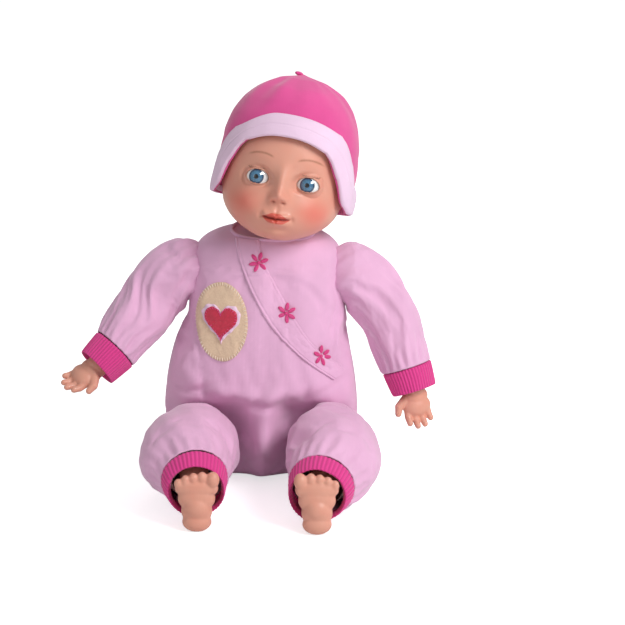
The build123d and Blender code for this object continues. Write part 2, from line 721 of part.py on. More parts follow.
with BuildPart() as case_back:
    add(block(MX, MZ, MW, MH, SPLIT + 0.02, BACK, 5))
    add(block(MX, MZ, MW - 2 * MODULE_WALL, MH - 2 * MODULE_WALL, SPLIT - 1, BACK - MODULE_WALL, 3),
        mode=Mode.SUBTRACT)
    add(pegs(SCREW_AT, 3.4, SPLIT + 0.02, BACK - 1))
    add(block(MX, MZ, DOOR_W + 4, DOOR_H + 2, BAY_FLOOR - 1.6, BACK - 0.5))
    add(block(MX, MZ, DOOR_W, DOOR_H - 2, BAY_FLOOR, BACK + 1), mode=Mode.SUBTRACT)
    add(block(MX, MZ, DOOR_W + 2, DOOR_H, BACK - PLATE - 0.2, BACK + 1), mode=Mode.SUBTRACT)
    add(pegs([(MX, MZ - DOOR_H / 2 + 5)], 3.2, BAY_FLOOR - 1, BACK - PLATE - 0.3))
    add(pegs([(MX, MZ - DOOR_H / 2 + 5)], 1.25, BAY_FLOOR + 3, BACK), mode=Mode.SUBTRACT)
    add(pegs(SCREW_AT, 1.5, SPLIT - 1, BACK + 1), mode=Mode.SUBTRACT)
    add(pegs(SCREW_AT, 2.8, BACK - 3, BACK + 1), mode=Mode.SUBTRACT)
    add(block(MX - 15, MZ + MH / 2 - 4.9, 9.6, 3.4, BACK - 5, BACK + 1), mode=Mode.SUBTRACT)
finish(case_back, "case_back")

with BuildPart() as case_screws:
    add(pegs(SCREW_AT, 1.05, FRONT + 5, BACK - 2.9))
    add(pegs(SCREW_AT, 2.6, BACK - 2.9, BACK - 1))
    with BuildSketch(Plane.XZ.offset(-(BACK - 0.9))):
        with Locations(*SCREW_AT):
            Rectangle(3, 0.7)
            Rectangle(0.7, 3)
    extrude(amount=1, mode=Mode.SUBTRACT)
finish(case_screws, "case_screws")

DOOR_SCREW_AT = (MX, MZ - DOOR_H / 2 + 5)
with BuildPart() as battery_door:
    add(block(MX, MZ, DOOR_W + 1.4, DOOR_H - 0.6, BACK - PLATE, BACK, 1.5))
    for step in range(4):
        add(block(MX, MZ + 12 + 2.6 * step, 18, 1.1, BACK - 0.2, BACK + 0.6))
    add(pegs([DOOR_SCREW_AT], 1.4, BACK - 3, BACK + 1), mode=Mode.SUBTRACT)
    add(pegs([DOOR_SCREW_AT], 2.6, BACK - 0.7, BACK + 1), mode=Mode.SUBTRACT)
finish(battery_door, "battery_door")

with BuildPart() as battery_door_screw:
    add(pegs([DOOR_SCREW_AT], 1.2, BACK - 8, BACK - 0.68))
    add(pegs([DOOR_SCREW_AT], 2.4, BACK - 0.68, BACK + 0.5))
    with BuildSketch(Plane.XZ.offset(-(BACK + 0.6))):
        with Locations(DOOR_SCREW_AT):
            Rectangle(3, 0.7)
            Rectangle(0.7, 3)
    extrude(amount=0.7, mode=Mode.SUBTRACT)
finish(battery_door_screw, "battery_door_screw")

CELL_X = [MX + step * 12.5 for step in (-1, 0, 1)]
CELL_Z = MZ + 3.5
with BuildPart() as batteries:
    for cell_x in CELL_X:
        with BuildSketch(Plane.XY.offset(CELL_Z - CELL_LENGTH / 2)):
            with Locations((cell_x, BAY_FLOOR + CELL_R + 0.3)):
                Circle(CELL_R)
        extrude(amount=CELL_LENGTH - 1)
        with BuildSketch(Plane.XY.offset(CELL_Z + CELL_LENGTH / 2 - 1)):
            with Locations((cell_x, BAY_FLOOR + CELL_R + 0.3)):
                Circle(1.9)
        extrude(amount=1)
finish(batteries, "batteries")

with BuildPart() as battery_contacts:
    for cell_x in CELL_X:
        add(block(cell_x, CELL_Z + CELL_LENGTH / 2 + 0.5, 9, 0.6, BAY_FLOOR + 0.4, BAY_FLOOR + 9.5))
        for turn in range(2):
            spring_z = CELL_Z - CELL_LENGTH / 2 - 0.5 - 1.1 * turn
            with BuildSketch(Plane.XY.offset(spring_z - 0.4)):
                with Locations((cell_x, BAY_FLOOR + CELL_R + 0.3)):
                    Circle(3.8 - 0.5 * (1 - turn))
                    Circle(2.9 - 0.5 * (1 - turn), mode=Mode.SUBTRACT)
            extrude(amount=0.8)
            if turn == 0:
                add(block(cell_x, spring_z - 0.55, 0.8, 0.9, BAY_FLOOR + CELL_R + 2.6,
                          BAY_FLOOR + CELL_R + 3.3))
finish(battery_contacts, "battery_contacts")

BOARD_Y = SPLIT - 6
with BuildPart() as circuit_board:
    add(block(MX, MZ - 21, 44, 24, BOARD_Y, BOARD_Y + PLATE))
    for chip_x, chip_z, chip_w, chip_h in [(-15, -16, 9, 7), (16, -17, 7, 7), (17, -27, 6, 4),
                                           (-17, -27, 4, 5)]:
        add(block(MX + chip_x, MZ + chip_z, chip_w, chip_h, BOARD_Y + PLATE - 0.1, BOARD_Y + PLATE + 1.6))
finish(circuit_board, "circuit_board")

BUTTON_FRONT = FRONT - 3.4
with BuildPart() as tact_switch:
    add(block(BUTTON_AT[0], BUTTON_AT[1], 6, 6, BOARD_Y - 2.6, BOARD_Y - 0.02))
    add(pegs([BUTTON_AT], 1.7, BOARD_Y - 3.2, BOARD_Y - 2.5))
finish(tact_switch, "tact_switch")

BUTTON_BACK = FRONT + MODULE_WALL + 1
with BuildPart() as press_button:
    add(pegs([BUTTON_AT], BUTTON_R, BUTTON_FRONT, BUTTON_BACK))
    add(pegs([BUTTON_AT], BUTTON_R + 1.4, BUTTON_BACK - 0.8, BUTTON_BACK))
    add(pegs([BUTTON_AT], BUTTON_R - 1.6, BUTTON_FRONT + 1.6, BUTTON_BACK + 1), mode=Mode.SUBTRACT)
    add(pegs([BUTTON_AT], 1.6, BUTTON_FRONT + 1.2, BOARD_Y - 3.2 - BUTTON_TRAVEL - 0.2))
finish(press_button, "press_button")

SPEAKER_FACE = FRONT + MODULE_WALL + 0.05
SPEAKER_BASKET = [(SPEAKER_R - 2.5, 0), (SPEAKER_R, 0), (SPEAKER_R, 1.6), (10, 5.8), (10, 9.6),
                  (0, 9.6), (0, 4.8), (8, 4.8), (SPEAKER_R - 2.5, 1.2)]
SPEAKER_CONE = [(SPEAKER_R - 2.7, 0.15), (7, 3.3), (0, 1.8), (0, 2.4), (6.8, 4), (SPEAKER_R - 2.7, 0.75)]
for outline, name in ((SPEAKER_BASKET, "speaker"), (SPEAKER_CONE, "speaker_cone")):
    with BuildPart() as turned:
        middle = (SPEAKER_AT[0], SPEAKER_FACE, SPEAKER_AT[1])
        with BuildSketch(Plane(origin=middle)):
            with BuildLine():
                Polyline(*outline, close=True)
            make_face()
        revolve(axis=Axis(middle, (0, 1, 0)))
    finish(turned, name)

KNOB_X = MX - 17.6
KNOB_Z = MZ + MH / 2 - 4.9
with BuildPart() as power_switch:
    add(block(KNOB_X, KNOB_Z, 4, 3, BACK - MODULE_WALL - 0.4, BACK + 1.4))
    add(block(KNOB_X + 1.2, KNOB_Z, 10, 3, BACK - MODULE_WALL - 1.4, BACK - MODULE_WALL - 0.2))
finish(power_switch, "power_switch")

CLOSURE_AT = (3, 112)
CLOSURE_SIZE = (16, 128)
with BuildPart() as closure_prism:
    with BuildSketch(Plane.XZ.offset(-25)):
        with Locations(CLOSURE_AT):
            RectangleRounded(*CLOSURE_SIZE, 3)
    extrude(amount=-60)
with BuildPart() as back_closure:
    add(laid_on_trunk(closure_prism.part, 0.02, CHEST_SKIN))
finish(back_closure, "back_closure")
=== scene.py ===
# %% [markdown]
# # A seated baby doll
# The doll has a vinyl head, hands and feet, and a stuffed cloth body in a jersey romper and a hat.
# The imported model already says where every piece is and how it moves. This lesson gives each piece
# that shows its real shape and finish, in metres, in the same frame.

# %% Load the frame
import json
import math
import bmesh
import bpy
from mathutils import Matrix, Vector, noise
from mathutils.bvhtree import BVHTree


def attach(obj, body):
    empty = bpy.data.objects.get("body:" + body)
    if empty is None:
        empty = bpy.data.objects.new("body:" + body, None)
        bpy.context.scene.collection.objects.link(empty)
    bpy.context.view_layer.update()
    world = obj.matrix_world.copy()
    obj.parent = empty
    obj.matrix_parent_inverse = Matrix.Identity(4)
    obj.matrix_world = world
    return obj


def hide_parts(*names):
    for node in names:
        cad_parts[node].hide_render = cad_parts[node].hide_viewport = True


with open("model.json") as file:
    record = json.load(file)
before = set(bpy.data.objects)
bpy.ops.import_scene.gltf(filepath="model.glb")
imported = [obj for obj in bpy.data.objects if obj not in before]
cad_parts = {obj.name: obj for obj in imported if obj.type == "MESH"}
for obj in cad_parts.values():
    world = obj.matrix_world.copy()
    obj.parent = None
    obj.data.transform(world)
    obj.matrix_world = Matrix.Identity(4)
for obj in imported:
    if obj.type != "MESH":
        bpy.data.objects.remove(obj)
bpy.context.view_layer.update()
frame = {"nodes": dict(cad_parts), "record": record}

MM = 0.001

# %% [markdown]
# ## Where things are
# The joints give the doll's own directions. The eyes turn about the head's sideways axis, and the
# hat lifts off along the head's upright axis, so the head's frame comes from those two.

# %% The head's frame and the camera
joints = {joint["name"]: joint for joint in frame["record"]["behaviour"]["joints"]}
HEAD_RIGHT = Vector(joints["eyes_close"]["axis"]).normalized()
HEAD_UP = Vector(joints["hat_lift"]["axis"]).normalized()
HEAD_BACK = HEAD_UP.cross(HEAD_RIGHT)
EYE_DEPTH = -36.5
HEAD_MIDDLE = Vector(joints["eyes_close"]["pos_m"]) / MM - HEAD_BACK * EYE_DEPTH


def in_head(right, back, up):
    """A place in the head's own frame, in millimetres."""
    return HEAD_MIDDLE + HEAD_RIGHT * right + HEAD_BACK * back + HEAD_UP * up


CAMERA_RISE = math.radians(15)
CAMERA_AWAY = 1.9
LOOK_AT = Vector((0.0415, 0, 0.1395))
camera = bpy.data.objects.new("camera", bpy.data.cameras.new("camera"))
bpy.context.collection.objects.link(camera)
camera.location = LOOK_AT + CAMERA_AWAY * Vector((0, -math.cos(CAMERA_RISE), math.sin(CAMERA_RISE)))
camera.rotation_euler = (math.pi / 2 - CAMERA_RISE, 0, 0)
camera.data.lens = 133.5
bpy.context.scene.camera = camera
print("head middle:", [round(number, 1) for number in HEAD_MIDDLE])

# %% [markdown]
# ## Helpers for shapes
# Cloth tubes start as a flat grid that is wrapped round, because a grid keeps tidy squares that fold
# well. Vinyl limbs start as round lumps that a voxel remesh melts into one skin.


# %% Meshes
def to_object(shape, name, smooth=True):
    mesh = bpy.data.meshes.new(name)
    for face in shape.faces:
        face.smooth = smooth
    shape.to_mesh(mesh)
    shape.free()
    piece = bpy.data.objects.new(name, mesh)
    bpy.context.collection.objects.link(piece)
    return piece


def wrapped_grid(name, around, along, place):
    """A grid whose corners are put where place(u, v) says, in millimetres, with a UV map."""
    shape = bmesh.new()
    bmesh.ops.create_grid(shape, x_segments=around, y_segments=along, size=0.5)
    layer = shape.loops.layers.uv.new("cloth")
    for face in shape.faces:
        for loop in face.loops:
            loop[layer].uv = (loop.vert.co.x + 0.5, loop.vert.co.y + 0.5)
    for corner in shape.verts:
        corner.co = Vector(place(corner.co.x + 0.5, corner.co.y + 0.5)) * MM
    bmesh.ops.remove_doubles(shape, verts=shape.verts, dist=2e-6)
    bmesh.ops.recalc_face_normals(shape, faces=shape.faces)
    return to_object(shape, name)


def bake_modifiers(piece):
    """Puts what the modifiers make into the mesh."""
    bpy.context.view_layer.update()
    graph = bpy.context.evaluated_depsgraph_get()
    mesh = bpy.data.meshes.new_from_object(piece.evaluated_get(graph))
    piece.modifiers.clear()
    piece.data = mesh
    for face in mesh.polygons:
        face.use_smooth = True
    return piece


def thicken(piece, wall, subdivide=0):
    """Gives a sheet its thickness, inwards."""
    solid = piece.modifiers.new("wall", "SOLIDIFY")
    solid.thickness = wall * MM
    solid.offset = -1
    if subdivide:
        smooth = piece.modifiers.new("smooth", "SUBSURF")
        smooth.levels = smooth.render_levels = subdivide
    return bake_modifiers(piece)


def melted(name, lumps, voxel, passes):
    """One smooth skin over round lumps: each is a centre, a turn and three half sizes."""
    shape = bmesh.new()
    for centre, turn, sizes in lumps:
        place = Matrix.Translation(Vector(centre) * MM) @ turn @ Matrix.Diagonal((*(Vector(sizes) * MM), 1))
        bmesh.ops.create_uvsphere(shape, u_segments=24, v_segments=16, radius=1, matrix=place)
    piece = to_object(shape, name)
    remesh = piece.modifiers.new("skin", "REMESH")
    remesh.mode = "VOXEL"
    remesh.voxel_size = voxel * MM
    relax = piece.modifiers.new("relax", "SMOOTH")
    relax.factor = 0.5
    relax.iterations = passes
    return bake_modifiers(piece)


def through(rows, where):
    """A smooth row of numbers part way along a list of rows."""
    last = len(rows) - 1
    where = min(max(where, 0), last - 1e-6)
    step = int(where)
    part = where - step
    a, b, c, d = rows[max(step - 1, 0)], rows[step], rows[step + 1], rows[min(step + 2, last)]
    return [0.5 * (2 * q + (r - p) * part + (2 * p - 5 * q + 4 * r - s) * part ** 2
                   + (3 * q - p - 3 * r + s) * part ** 3) for p, q, r, s in zip(a, b, c, d)]


def bell(distance, width):
    return math.exp(-(distance / width) ** 2)


def ramp(value, low, high):
    part = min(max((value - low) / (high - low), 0), 1)
    return part * part * (3 - 2 * part)


def rounded(angle, half_width, half_depth, square=2.0):
    """A point on a rounded outline, from an ellipse (2) towards a rounded box (4)."""
    c, s = math.cos(angle), math.sin(angle)
    return (half_width * math.copysign(abs(c) ** (2 / square), c),
            half_depth * math.copysign(abs(s) ** (2 / square), s))


# %% [markdown]
# ## Helpers for finishes
# Shader maths reads best as sums, so a small class wraps a socket. Any node comes from one method.


# %% Finishes
class Value:
    """A number in a material that can stand in a sum."""

    def __init__(self, finish, socket):
        self.finish, self.socket = finish, socket

    def sum(self, operation, first, second):
        return self.finish.node("ShaderNodeMath", {"operation": operation}, {0: first, 1: second})

    def __add__(self, other): return self.sum("ADD", self, other)
    def __radd__(self, other): return self.sum("ADD", other, self)
    def __sub__(self, other): return self.sum("SUBTRACT", self, other)
    def __rsub__(self, other): return self.sum("SUBTRACT", other, self)
    def __mul__(self, other): return self.sum("MULTIPLY", self, other)
    def __rmul__(self, other): return self.sum("MULTIPLY", other, self)
    def __truediv__(self, other): return self.sum("DIVIDE", self, other)
    def __pow__(self, other): return self.sum("POWER", self, other)
    def __rpow__(self, other): return self.sum("POWER", other, self)


class Finish:
    """A procedural material."""

    def __init__(self, name, roughness=0.6, coat=0.0, sheen=0.0, metallic=0.0):
        self.material = bpy.data.materials.new(name)
        self.material.use_nodes = True
        self.nodes = self.material.node_tree.nodes
        self.links = self.material.node_tree.links
        self.shader = self.nodes["Principled BSDF"]
        self.shader.inputs["Roughness"].default_value = roughness
        self.shader.inputs["Coat Weight"].default_value = coat
        self.shader.inputs["Sheen Weight"].default_value = sheen
        self.shader.inputs["Metallic"].default_value = metallic
        self.place = self.node("ShaderNodeTexCoord", out="Object")

    def node(self, kind, settings=None, inputs=None, out=0):
        made = self.nodes.new(kind)
        for name, setting in (settings or {}).items():
            setattr(made, name, setting)
        for name, given in (inputs or {}).items():
            self.give(made.inputs[name], given)
        return Value(self, made.outputs[out])

    def give(self, socket, given):
        if isinstance(given, Value):
            self.links.new(given.socket, socket)
        else:
            socket.default_value = given

    def paint(self, **channels):
        for name, given in channels.items():
            self.give(self.shader.inputs[name.replace("_", " ").title()], given)
        return self.material

    def noise(self, scale, detail=2.0, place=None):
        return self.node("ShaderNodeTexNoise", None,
                         {"Vector": place or self.place, "Scale": scale, "Detail": detail})

    def bands(self, direction, scale, distortion=0.0, detail=2.0):
        """Even stripes along a direction, as of stitches or threads."""
        return self.node("ShaderNodeTexWave", {"wave_type": "BANDS", "bands_direction": direction},
                         {"Vector": self.place, "Scale": scale, "Distortion": distortion,
                          "Detail": detail}, out="Fac")

    def smooth(self, value, low, high):
        return self.node("ShaderNodeMapRange", {"interpolation_type": "SMOOTHSTEP"},
                         {"Value": value, "From Min": low, "From Max": high})

    def mix(self, factor, first, second):
        return self.node("ShaderNodeMix", {"data_type": "RGBA"},
                         {"Factor": factor, 6: first, 7: second}, out=2)

    def dot(self, centre, direction):
        """How far a point is from a centre along a direction, in millimetres."""
        away = self.node("ShaderNodeVectorMath", {"operation": "SUBTRACT"},
                         {0: self.place, 1: tuple(Vector(centre) * MM)})
        return self.node("ShaderNodeVectorMath", {"operation": "DOT_PRODUCT"},
                         {0: away, 1: tuple(Vector(direction) / MM)}, out="Value")

    def bump(self, height, depth, strength=1.0):
        """A relief of a depth in millimetres."""
        self.give(self.shader.inputs["Normal"], self.node(
            "ShaderNodeBump", None, {"Height": height, "Distance": depth * MM, "Strength": strength}))

    def blob(self, x, y, wide, high):
        """1 at a centre, fading to 0, where x and y are distances from it."""
        reach = (x / wide) * (x / wide) + (y / high) * (y / high)
        return 2.718 ** (reach * -1.0)


def solid(red, green, blue):
    return (red, green, blue, 1.0)


# %% [markdown]
# ## Cloth finishes
# Jersey is a fine knit, so it has small upright ribs of stitches, a soft sheen at its edges and a
# slightly uneven dye. The cuffs are a coarser rib, with painted shade in the valleys between its ribs.


# %% Jersey, rib and plain cloth
def jersey(name, colour, wale=1.1, depth=0.06, sheen=0.35):
    finish = Finish(name, roughness=0.88, sheen=sheen)
    shade = tuple(0.80 * part for part in colour[:3])
    dye = finish.noise(38, 3)
    knit = finish.bands("X", 320 / wale, 1.5, 1.0)
    loops = finish.bands("Z", 360 / wale, 1.5, 1.0)
    fuzz = finish.noise(900, 2)
    cloth = finish.mix(finish.smooth(dye, 0.3, 0.75) * 0.35 + knit * 0.10, colour, (*shade, 1))
    finish.bump(knit * 0.6 + loops * 0.4 + fuzz * 0.5, depth)
    return finish.paint(base_color=cloth)


def rib_knit(name, colour, ribs):
    finish = Finish(name, roughness=0.86, sheen=0.2)
    cloth_place = finish.node("ShaderNodeUVMap", {"uv_map": "cloth"})
    across = finish.node("ShaderNodeSeparateXYZ", None, {0: cloth_place})
    wave = finish.node("ShaderNodeMath", {"operation": "SINE"}, {0: across * (2 * math.pi * ribs)})
    dark = tuple(0.62 * part for part in colour[:3])
    # The valleys between the ribs are painted darker: painted shade in the recesses.
    rib_valley_shade = finish.smooth(wave, 0.2, -0.9)
    fuzz = finish.noise(700, 2)
    finish.bump(wave * 0.5 + fuzz * 0.4, 0.22)
    return finish.paint(base_color=finish.mix(rib_valley_shade * 0.45 + finish.noise(40, 2) * 0.2, colour, (*dark, 1)))


def woven(name, colour, pitch=0.9):
    finish = Finish(name, roughness=0.85, sheen=0.1)
    over = finish.bands("X", 314 / pitch)
    under = finish.bands("Z", 314 / pitch)
    finish.bump(over * under + finish.noise(500) * 0.4, 0.1)
    dark = tuple(0.8 * part for part in colour[:3])
    return finish.paint(base_color=finish.mix(over * under * 0.4 + finish.noise(60) * 0.4, (*dark, 1), colour))


PINK = solid(0.78, 0.44, 0.65)
MAGENTA = solid(0.76, 0.045, 0.28)
romper_jersey = jersey("romper_jersey", PINK)
hat_jersey = jersey("hat_jersey", solid(0.74, 0.07, 0.30), sheen=0.3)
brim_jersey = jersey("brim_jersey", solid(0.84, 0.61, 0.79))
CUFF_RIBS = 46
cuff_rib = rib_knit("cuff_rib", MAGENTA, CUFF_RIBS)
print("cloth finishes made")


# %% [markdown]
# ## Vinyl skin
# Soft vinyl is matt and slightly see-through. Its colour is a little redder in the cheeks and at the
# fingertips, so broad soft patches are mixed over a peach base.


# %% Vinyl
SKIN = solid(0.71, 0.335, 0.245)
SKIN_RED = solid(0.76, 0.28, 0.20)


def vinyl(name):
    finish = Finish(name, roughness=0.46, coat=0.08)
    finish.shader.inputs["Subsurface Weight"].default_value = 0.12
    finish.shader.inputs["Subsurface Radius"].default_value = (1.0, 0.4, 0.25)
    finish.shader.inputs["Subsurface Scale"].default_value = 2.5 * MM
    finish.bump(finish.noise(850, 2), 0.03)
    mottle = finish.smooth(finish.noise(45, 2), 0.35, 0.75)
    return finish, finish.mix(mottle * 0.28, SKIN, SKIN_RED)


def plain_vinyl(name):
    finish, skin = vinyl(name)
    return finish.paint(base_color=skin)


# %% [markdown]
# ## The head
# The head is one moulded shell, and its lids, nose and lips are only gentle swellings. So a fine
# sphere is fitted to the head's outline, and each feature is a soft push in or out.

# %% The head's outline
# height, centre in depth, half width, half depth
HEAD_ROWS = [(-48, -27, 0, 0), (-46, -25, 15, 12), (-37, -15, 34, 31), (-24, -6, 45.5, 44),
             (-6, -1, 49.3, 50.5), (14, 2, 50.8, 54.5), (34, 4, 48.8, 53.5), (50, 5, 40.8, 45.5),
             (62, 6, 26.5, 30.5), (70, 6, 0, 0)]
EYE_HALF = 20.4
FACE_X = 2.2
EYE_R = 11.8
OPENING = (8.3, 5.7)
MOUTH_Z = -30.5


def head_outline(direction):
    """Where the plain head is in a direction, in its own frame."""
    rise = math.asin(min(max(direction.z, -1), 1)) / math.pi + 0.5
    height, back, wide, deep = through(HEAD_ROWS, rise * (len(HEAD_ROWS) - 1))
    angle = math.atan2(direction.y, direction.x)
    return Vector((max(wide, 0) * math.cos(angle), back + max(deep, 0) * math.sin(angle), height))


def lid_arch(across, up):
    """How far a place is outside an eye's opening: under 1 is inside it."""
    lift = up + 0.6 - 0.8 * bell(across, 8)
    return math.hypot(across / OPENING[0], lift / (OPENING[1] if lift > 0 else OPENING[1] * 0.88))


def face_push(x, z):
    """How far the face swells forwards at a place on it."""
    x -= FACE_X
    side = abs(x)
    push = 1.6 * bell(x, 30) * bell(z - 34, 16)
    push -= 2.6 * bell(side - 20, 13) * bell(z - 2, 12)
    push += 1.1 * bell(side - 20, 13) * bell(z - 17, 7)
    push += 3.2 * bell(side - 26, 13) * bell(z + 23, 12)
    push += 5.2 * bell(x, 5.5) * bell(z + 3, 13) + 6.8 * bell(x, 5.6) * bell(z + 11.8, 5.4)
    push += 2.8 * bell(side - 5.8, 2.8) * bell(z + 14.4, 3.6)
    push -= 2.4 * bell(side - 3.8, 1.8) * bell(z + 17.0, 1.3)
    push += 4.6 * bell(x, 15) * bell(z + 30, 9)
    push -= 1.1 * bell(x, 1.8) * bell(z + 22.5, 3.4)
    bow = MOUTH_Z + 0.9 * bell(x, 3) - 1.5 * bell(x, 1.3) + 1.2 * (side / 11) ** 2
    lips = ramp(side, 12.5, 9)
    push += 2.3 * lips * bell(z - bow - 2.6, 2.0) * (1 - 0.35 * side / 11)
    push += 3.0 * bell(x, 6.6) * bell(z - bow + 3.5, 2.3)
    push -= 2.6 * ramp(side, 12, 10) * bell(z - bow, 0.8)
    push -= 1.7 * bell(side - 12.3, 2.0) * bell(z + 29.3, 2.4)
    push -= 1.8 * bell(x, 9) * bell(z + 38.2, 2.6)
    push += 2.6 * bell(x, 9) * bell(z + 43.5, 5)
    return push


def head_place(direction):
    place = head_outline(direction)
    front = ramp(-direction.y, 0.0, 0.45)
    if front:
        place.y -= front * face_push(place.x, place.z)
    for side in (-1, 1):
        across = place.x - FACE_X - side * EYE_HALF
        inside = lid_arch(across * side, place.z)
        if direction.y < 0 and inside < 2.2:
            ball = EYE_R ** 2 - across ** 2 - place.z ** 2
            lid = EYE_DEPTH - math.sqrt(max(ball, 0)) - 0.9
            near = ramp(inside, 1.9, 1.08)
            place.y = place.y * (1 - near) + min(lid, place.y + 4) * near
            place.y += 8.5 * ramp(inside, 1.05, 0.94)
            place.y -= 0.8 * bell(inside - 1.16, 0.14)
        cover = EYE_R ** 2 - across ** 2 - place.z ** 2
        if direction.y < 0 and inside > 1.08 and cover > 0:
            place.y = min(place.y, EYE_DEPTH - math.sqrt(cover) - 0.7)
        ear = bell(place.y - 8, 7) * bell(place.z + 5, 10) * ramp(side * direction.x, 0.7, 0.95)
        hollow = bell(place.y - 6.5, 3) * bell(place.z + 4, 5) * ramp(side * direction.x, 0.7, 0.95)
        place.x += side * (4.6 * ear - 3.4 * hollow)
    return place


# %% Make the head
ball = bmesh.new()
bmesh.ops.create_icosphere(ball, subdivisions=7, radius=1)
for corner in ball.verts:
    pull = Vector((corner.co.x * 0.74, corner.co.y - 0.33 * (corner.co.y < 9), corner.co.z * 0.92))
    corner.co = in_head(*head_place(pull.normalized())) * MM
bmesh.ops.recalc_face_normals(ball, faces=ball.faces)
head = to_object(ball, "vinyl_head")
print("head corners:", len(head.data.vertices))

# %% [markdown]
# The face is sprayed through masks at the factory: brows, lips and a little blush. The same masks are
# drawn here as soft patches, placed in the head's own frame. The nostril hollows are darkened as painted
# shade, and the dark rim round each eye opening is part painted lash line and part painted shade.

# %% Paint the face
face_finish, skin = vinyl("face_vinyl")
face_x = face_finish.dot(in_head(FACE_X, 0, 0), HEAD_RIGHT)
face_z = face_finish.dot(HEAD_MIDDLE, HEAD_UP)
face_y = face_finish.dot(HEAD_MIDDLE, HEAD_BACK)
face_side = face_finish.node("ShaderNodeMath", {"operation": "ABSOLUTE"}, {0: face_x})
in_front = face_finish.smooth(face_y, -20, -34)
blush = face_finish.blob(face_side - 29, face_z + 22, 13, 11) * in_front
skin = face_finish.mix(blush * 0.62, skin, solid(0.74, 0.12, 0.09))
nose_blush = face_finish.blob(face_x, face_z + 13, 6, 5) * in_front
skin = face_finish.mix(nose_blush * 0.22, skin, solid(0.84, 0.27, 0.20))
bow_line = face_z - (MOUTH_Z + 0.3) - face_side * face_side * 0.009
lip_mask = (face_finish.smooth(bow_line, 4.9, 3.7) * face_finish.smooth(bow_line, -4.6, -3.0)
            * face_finish.smooth(face_side + face_finish.node("ShaderNodeMath", {"operation": "ABSOLUTE"},
                                                              {0: bow_line + 0.6}) * 1.55, 11.8, 10.4))
skin = face_finish.mix(lip_mask * in_front * 0.9, skin, solid(0.60, 0.075, 0.05))
line = face_finish.blob(bow_line, 0.0, 0.75, 1) * face_finish.smooth(face_side, 11.5, 8.5)
skin = face_finish.mix(line * in_front * 0.75, skin, solid(0.24, 0.03, 0.03))
# The nostril hollows are darkened: painted shade in the recesses.
nostril_shade = face_finish.blob(face_side - 3.8, face_z + 16.9, 1.6, 0.9) * in_front
skin = face_finish.mix(nostril_shade * 0.8, skin, solid(0.42, 0.10, 0.07))
brow_arc = face_z - 19.6 + (face_side - 20) * (face_side - 20) * 0.022 + (face_side - 20) * 0.03
brow_end = face_finish.smooth(face_side, 8.5, 12.5) * face_finish.smooth(face_side, 32, 26)
brow_hair = face_finish.noise(900, 1) * 0.5 + 0.6
brow = face_finish.blob(brow_arc, 0.0, 0.85, 1) * brow_end * brow_hair * in_front
skin = face_finish.mix(brow * 0.8, skin, solid(0.33, 0.125, 0.06))
# A dark rim round each eye opening, stronger along the top: part painted lash line, part painted shade where the lid
# meets the eye.
lid_up = face_z + 0.4
rim = face_finish.node("ShaderNodeMath", {"operation": "SQRT"},
                       {0: ((face_side - EYE_HALF) / OPENING[0]) ** 2 + (lid_up / OPENING[1]) ** 2})
eye_rim_lash_and_shade = face_finish.smooth(rim, 1.22, 1.06) * (face_finish.smooth(face_z, -5.5, 1.5) * 0.5 + 0.5) * in_front
skin = face_finish.mix(eye_rim_lash_and_shade * 0.72, skin, solid(0.20, 0.085, 0.055))
head.data.materials.append(face_finish.paint(base_color=skin))
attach(head, "head")
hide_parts("head_shell")
print("face painted")

# %% [markdown]
# ## The eyes
# Each eye is a glossy ball that rolls. Its front carries the iris, with a clear bulge over it, and its
# top is skin coloured, so that the lid comes down as it rolls. The lashes are glued to the lid's edge.

# %% Eyes and lashes
IRIS_R = 5.9
LOOK_LEFT = 0.7
LASHES = 26
LID_ANGLE = math.radians(31)


def eye_finish(name, centre):
    finish = Finish(name, roughness=0.06, coat=1.0)
    across = finish.dot(centre, HEAD_RIGHT)
    up = finish.dot(centre, HEAD_UP)
    back = finish.dot(centre, HEAD_BACK)
    from_iris = across + LOOK_LEFT
    away = finish.node("ShaderNodeMath", {"operation": "SQRT"}, {0: from_iris * from_iris + up * up})
    front = finish.smooth(back, 0.5, -0.5)
    turn = finish.node("ShaderNodeMath", {"operation": "ARCTAN2"}, {0: up, 1: from_iris})
    spokes = finish.node("ShaderNodeCombineXYZ", None, {0: turn * 6.0, 1: away * 0.18})
    streak = finish.noise(3.2, 2, spokes)
    blue = finish.mix(finish.smooth(streak, 0.3, 0.75), solid(0.02, 0.085, 0.19), solid(0.11, 0.30, 0.46))
    blue = finish.mix(finish.smooth(away, IRIS_R * 0.62, IRIS_R * 0.98), blue, solid(0.012, 0.035, 0.085))
    blue = finish.mix(finish.smooth(away, IRIS_R * 0.36, IRIS_R * 0.28), blue, solid(0.004, 0.004, 0.006))
    white = solid(0.86, 0.87, 0.88)
    paint = finish.mix(finish.smooth(away, IRIS_R + 0.25, IRIS_R - 0.15) * front, white, blue)
    lid_edge = up * math.cos(LID_ANGLE) + back * math.sin(LID_ANGLE)
    is_lid = finish.smooth(lid_edge, -0.15, 0.15)
    paint = finish.mix(finish.smooth(lid_edge, -0.9, -0.1), paint, solid(0.10, 0.04, 0.03))
    paint = finish.mix(is_lid, paint, SKIN)
    return finish.paint(base_color=paint, roughness=is_lid * 0.35 + 0.06,
                        coat_weight=1.0 - is_lid * 0.9)


lash_finish = Finish("lash_fibre", roughness=0.5)
lash_finish.bump(lash_finish.noise(2000), 0.01)
lash_black = lash_finish.paint(base_color=lash_finish.mix(
    lash_finish.noise(600), solid(0.05, 0.02, 0.012), solid(0.10, 0.045, 0.03)))


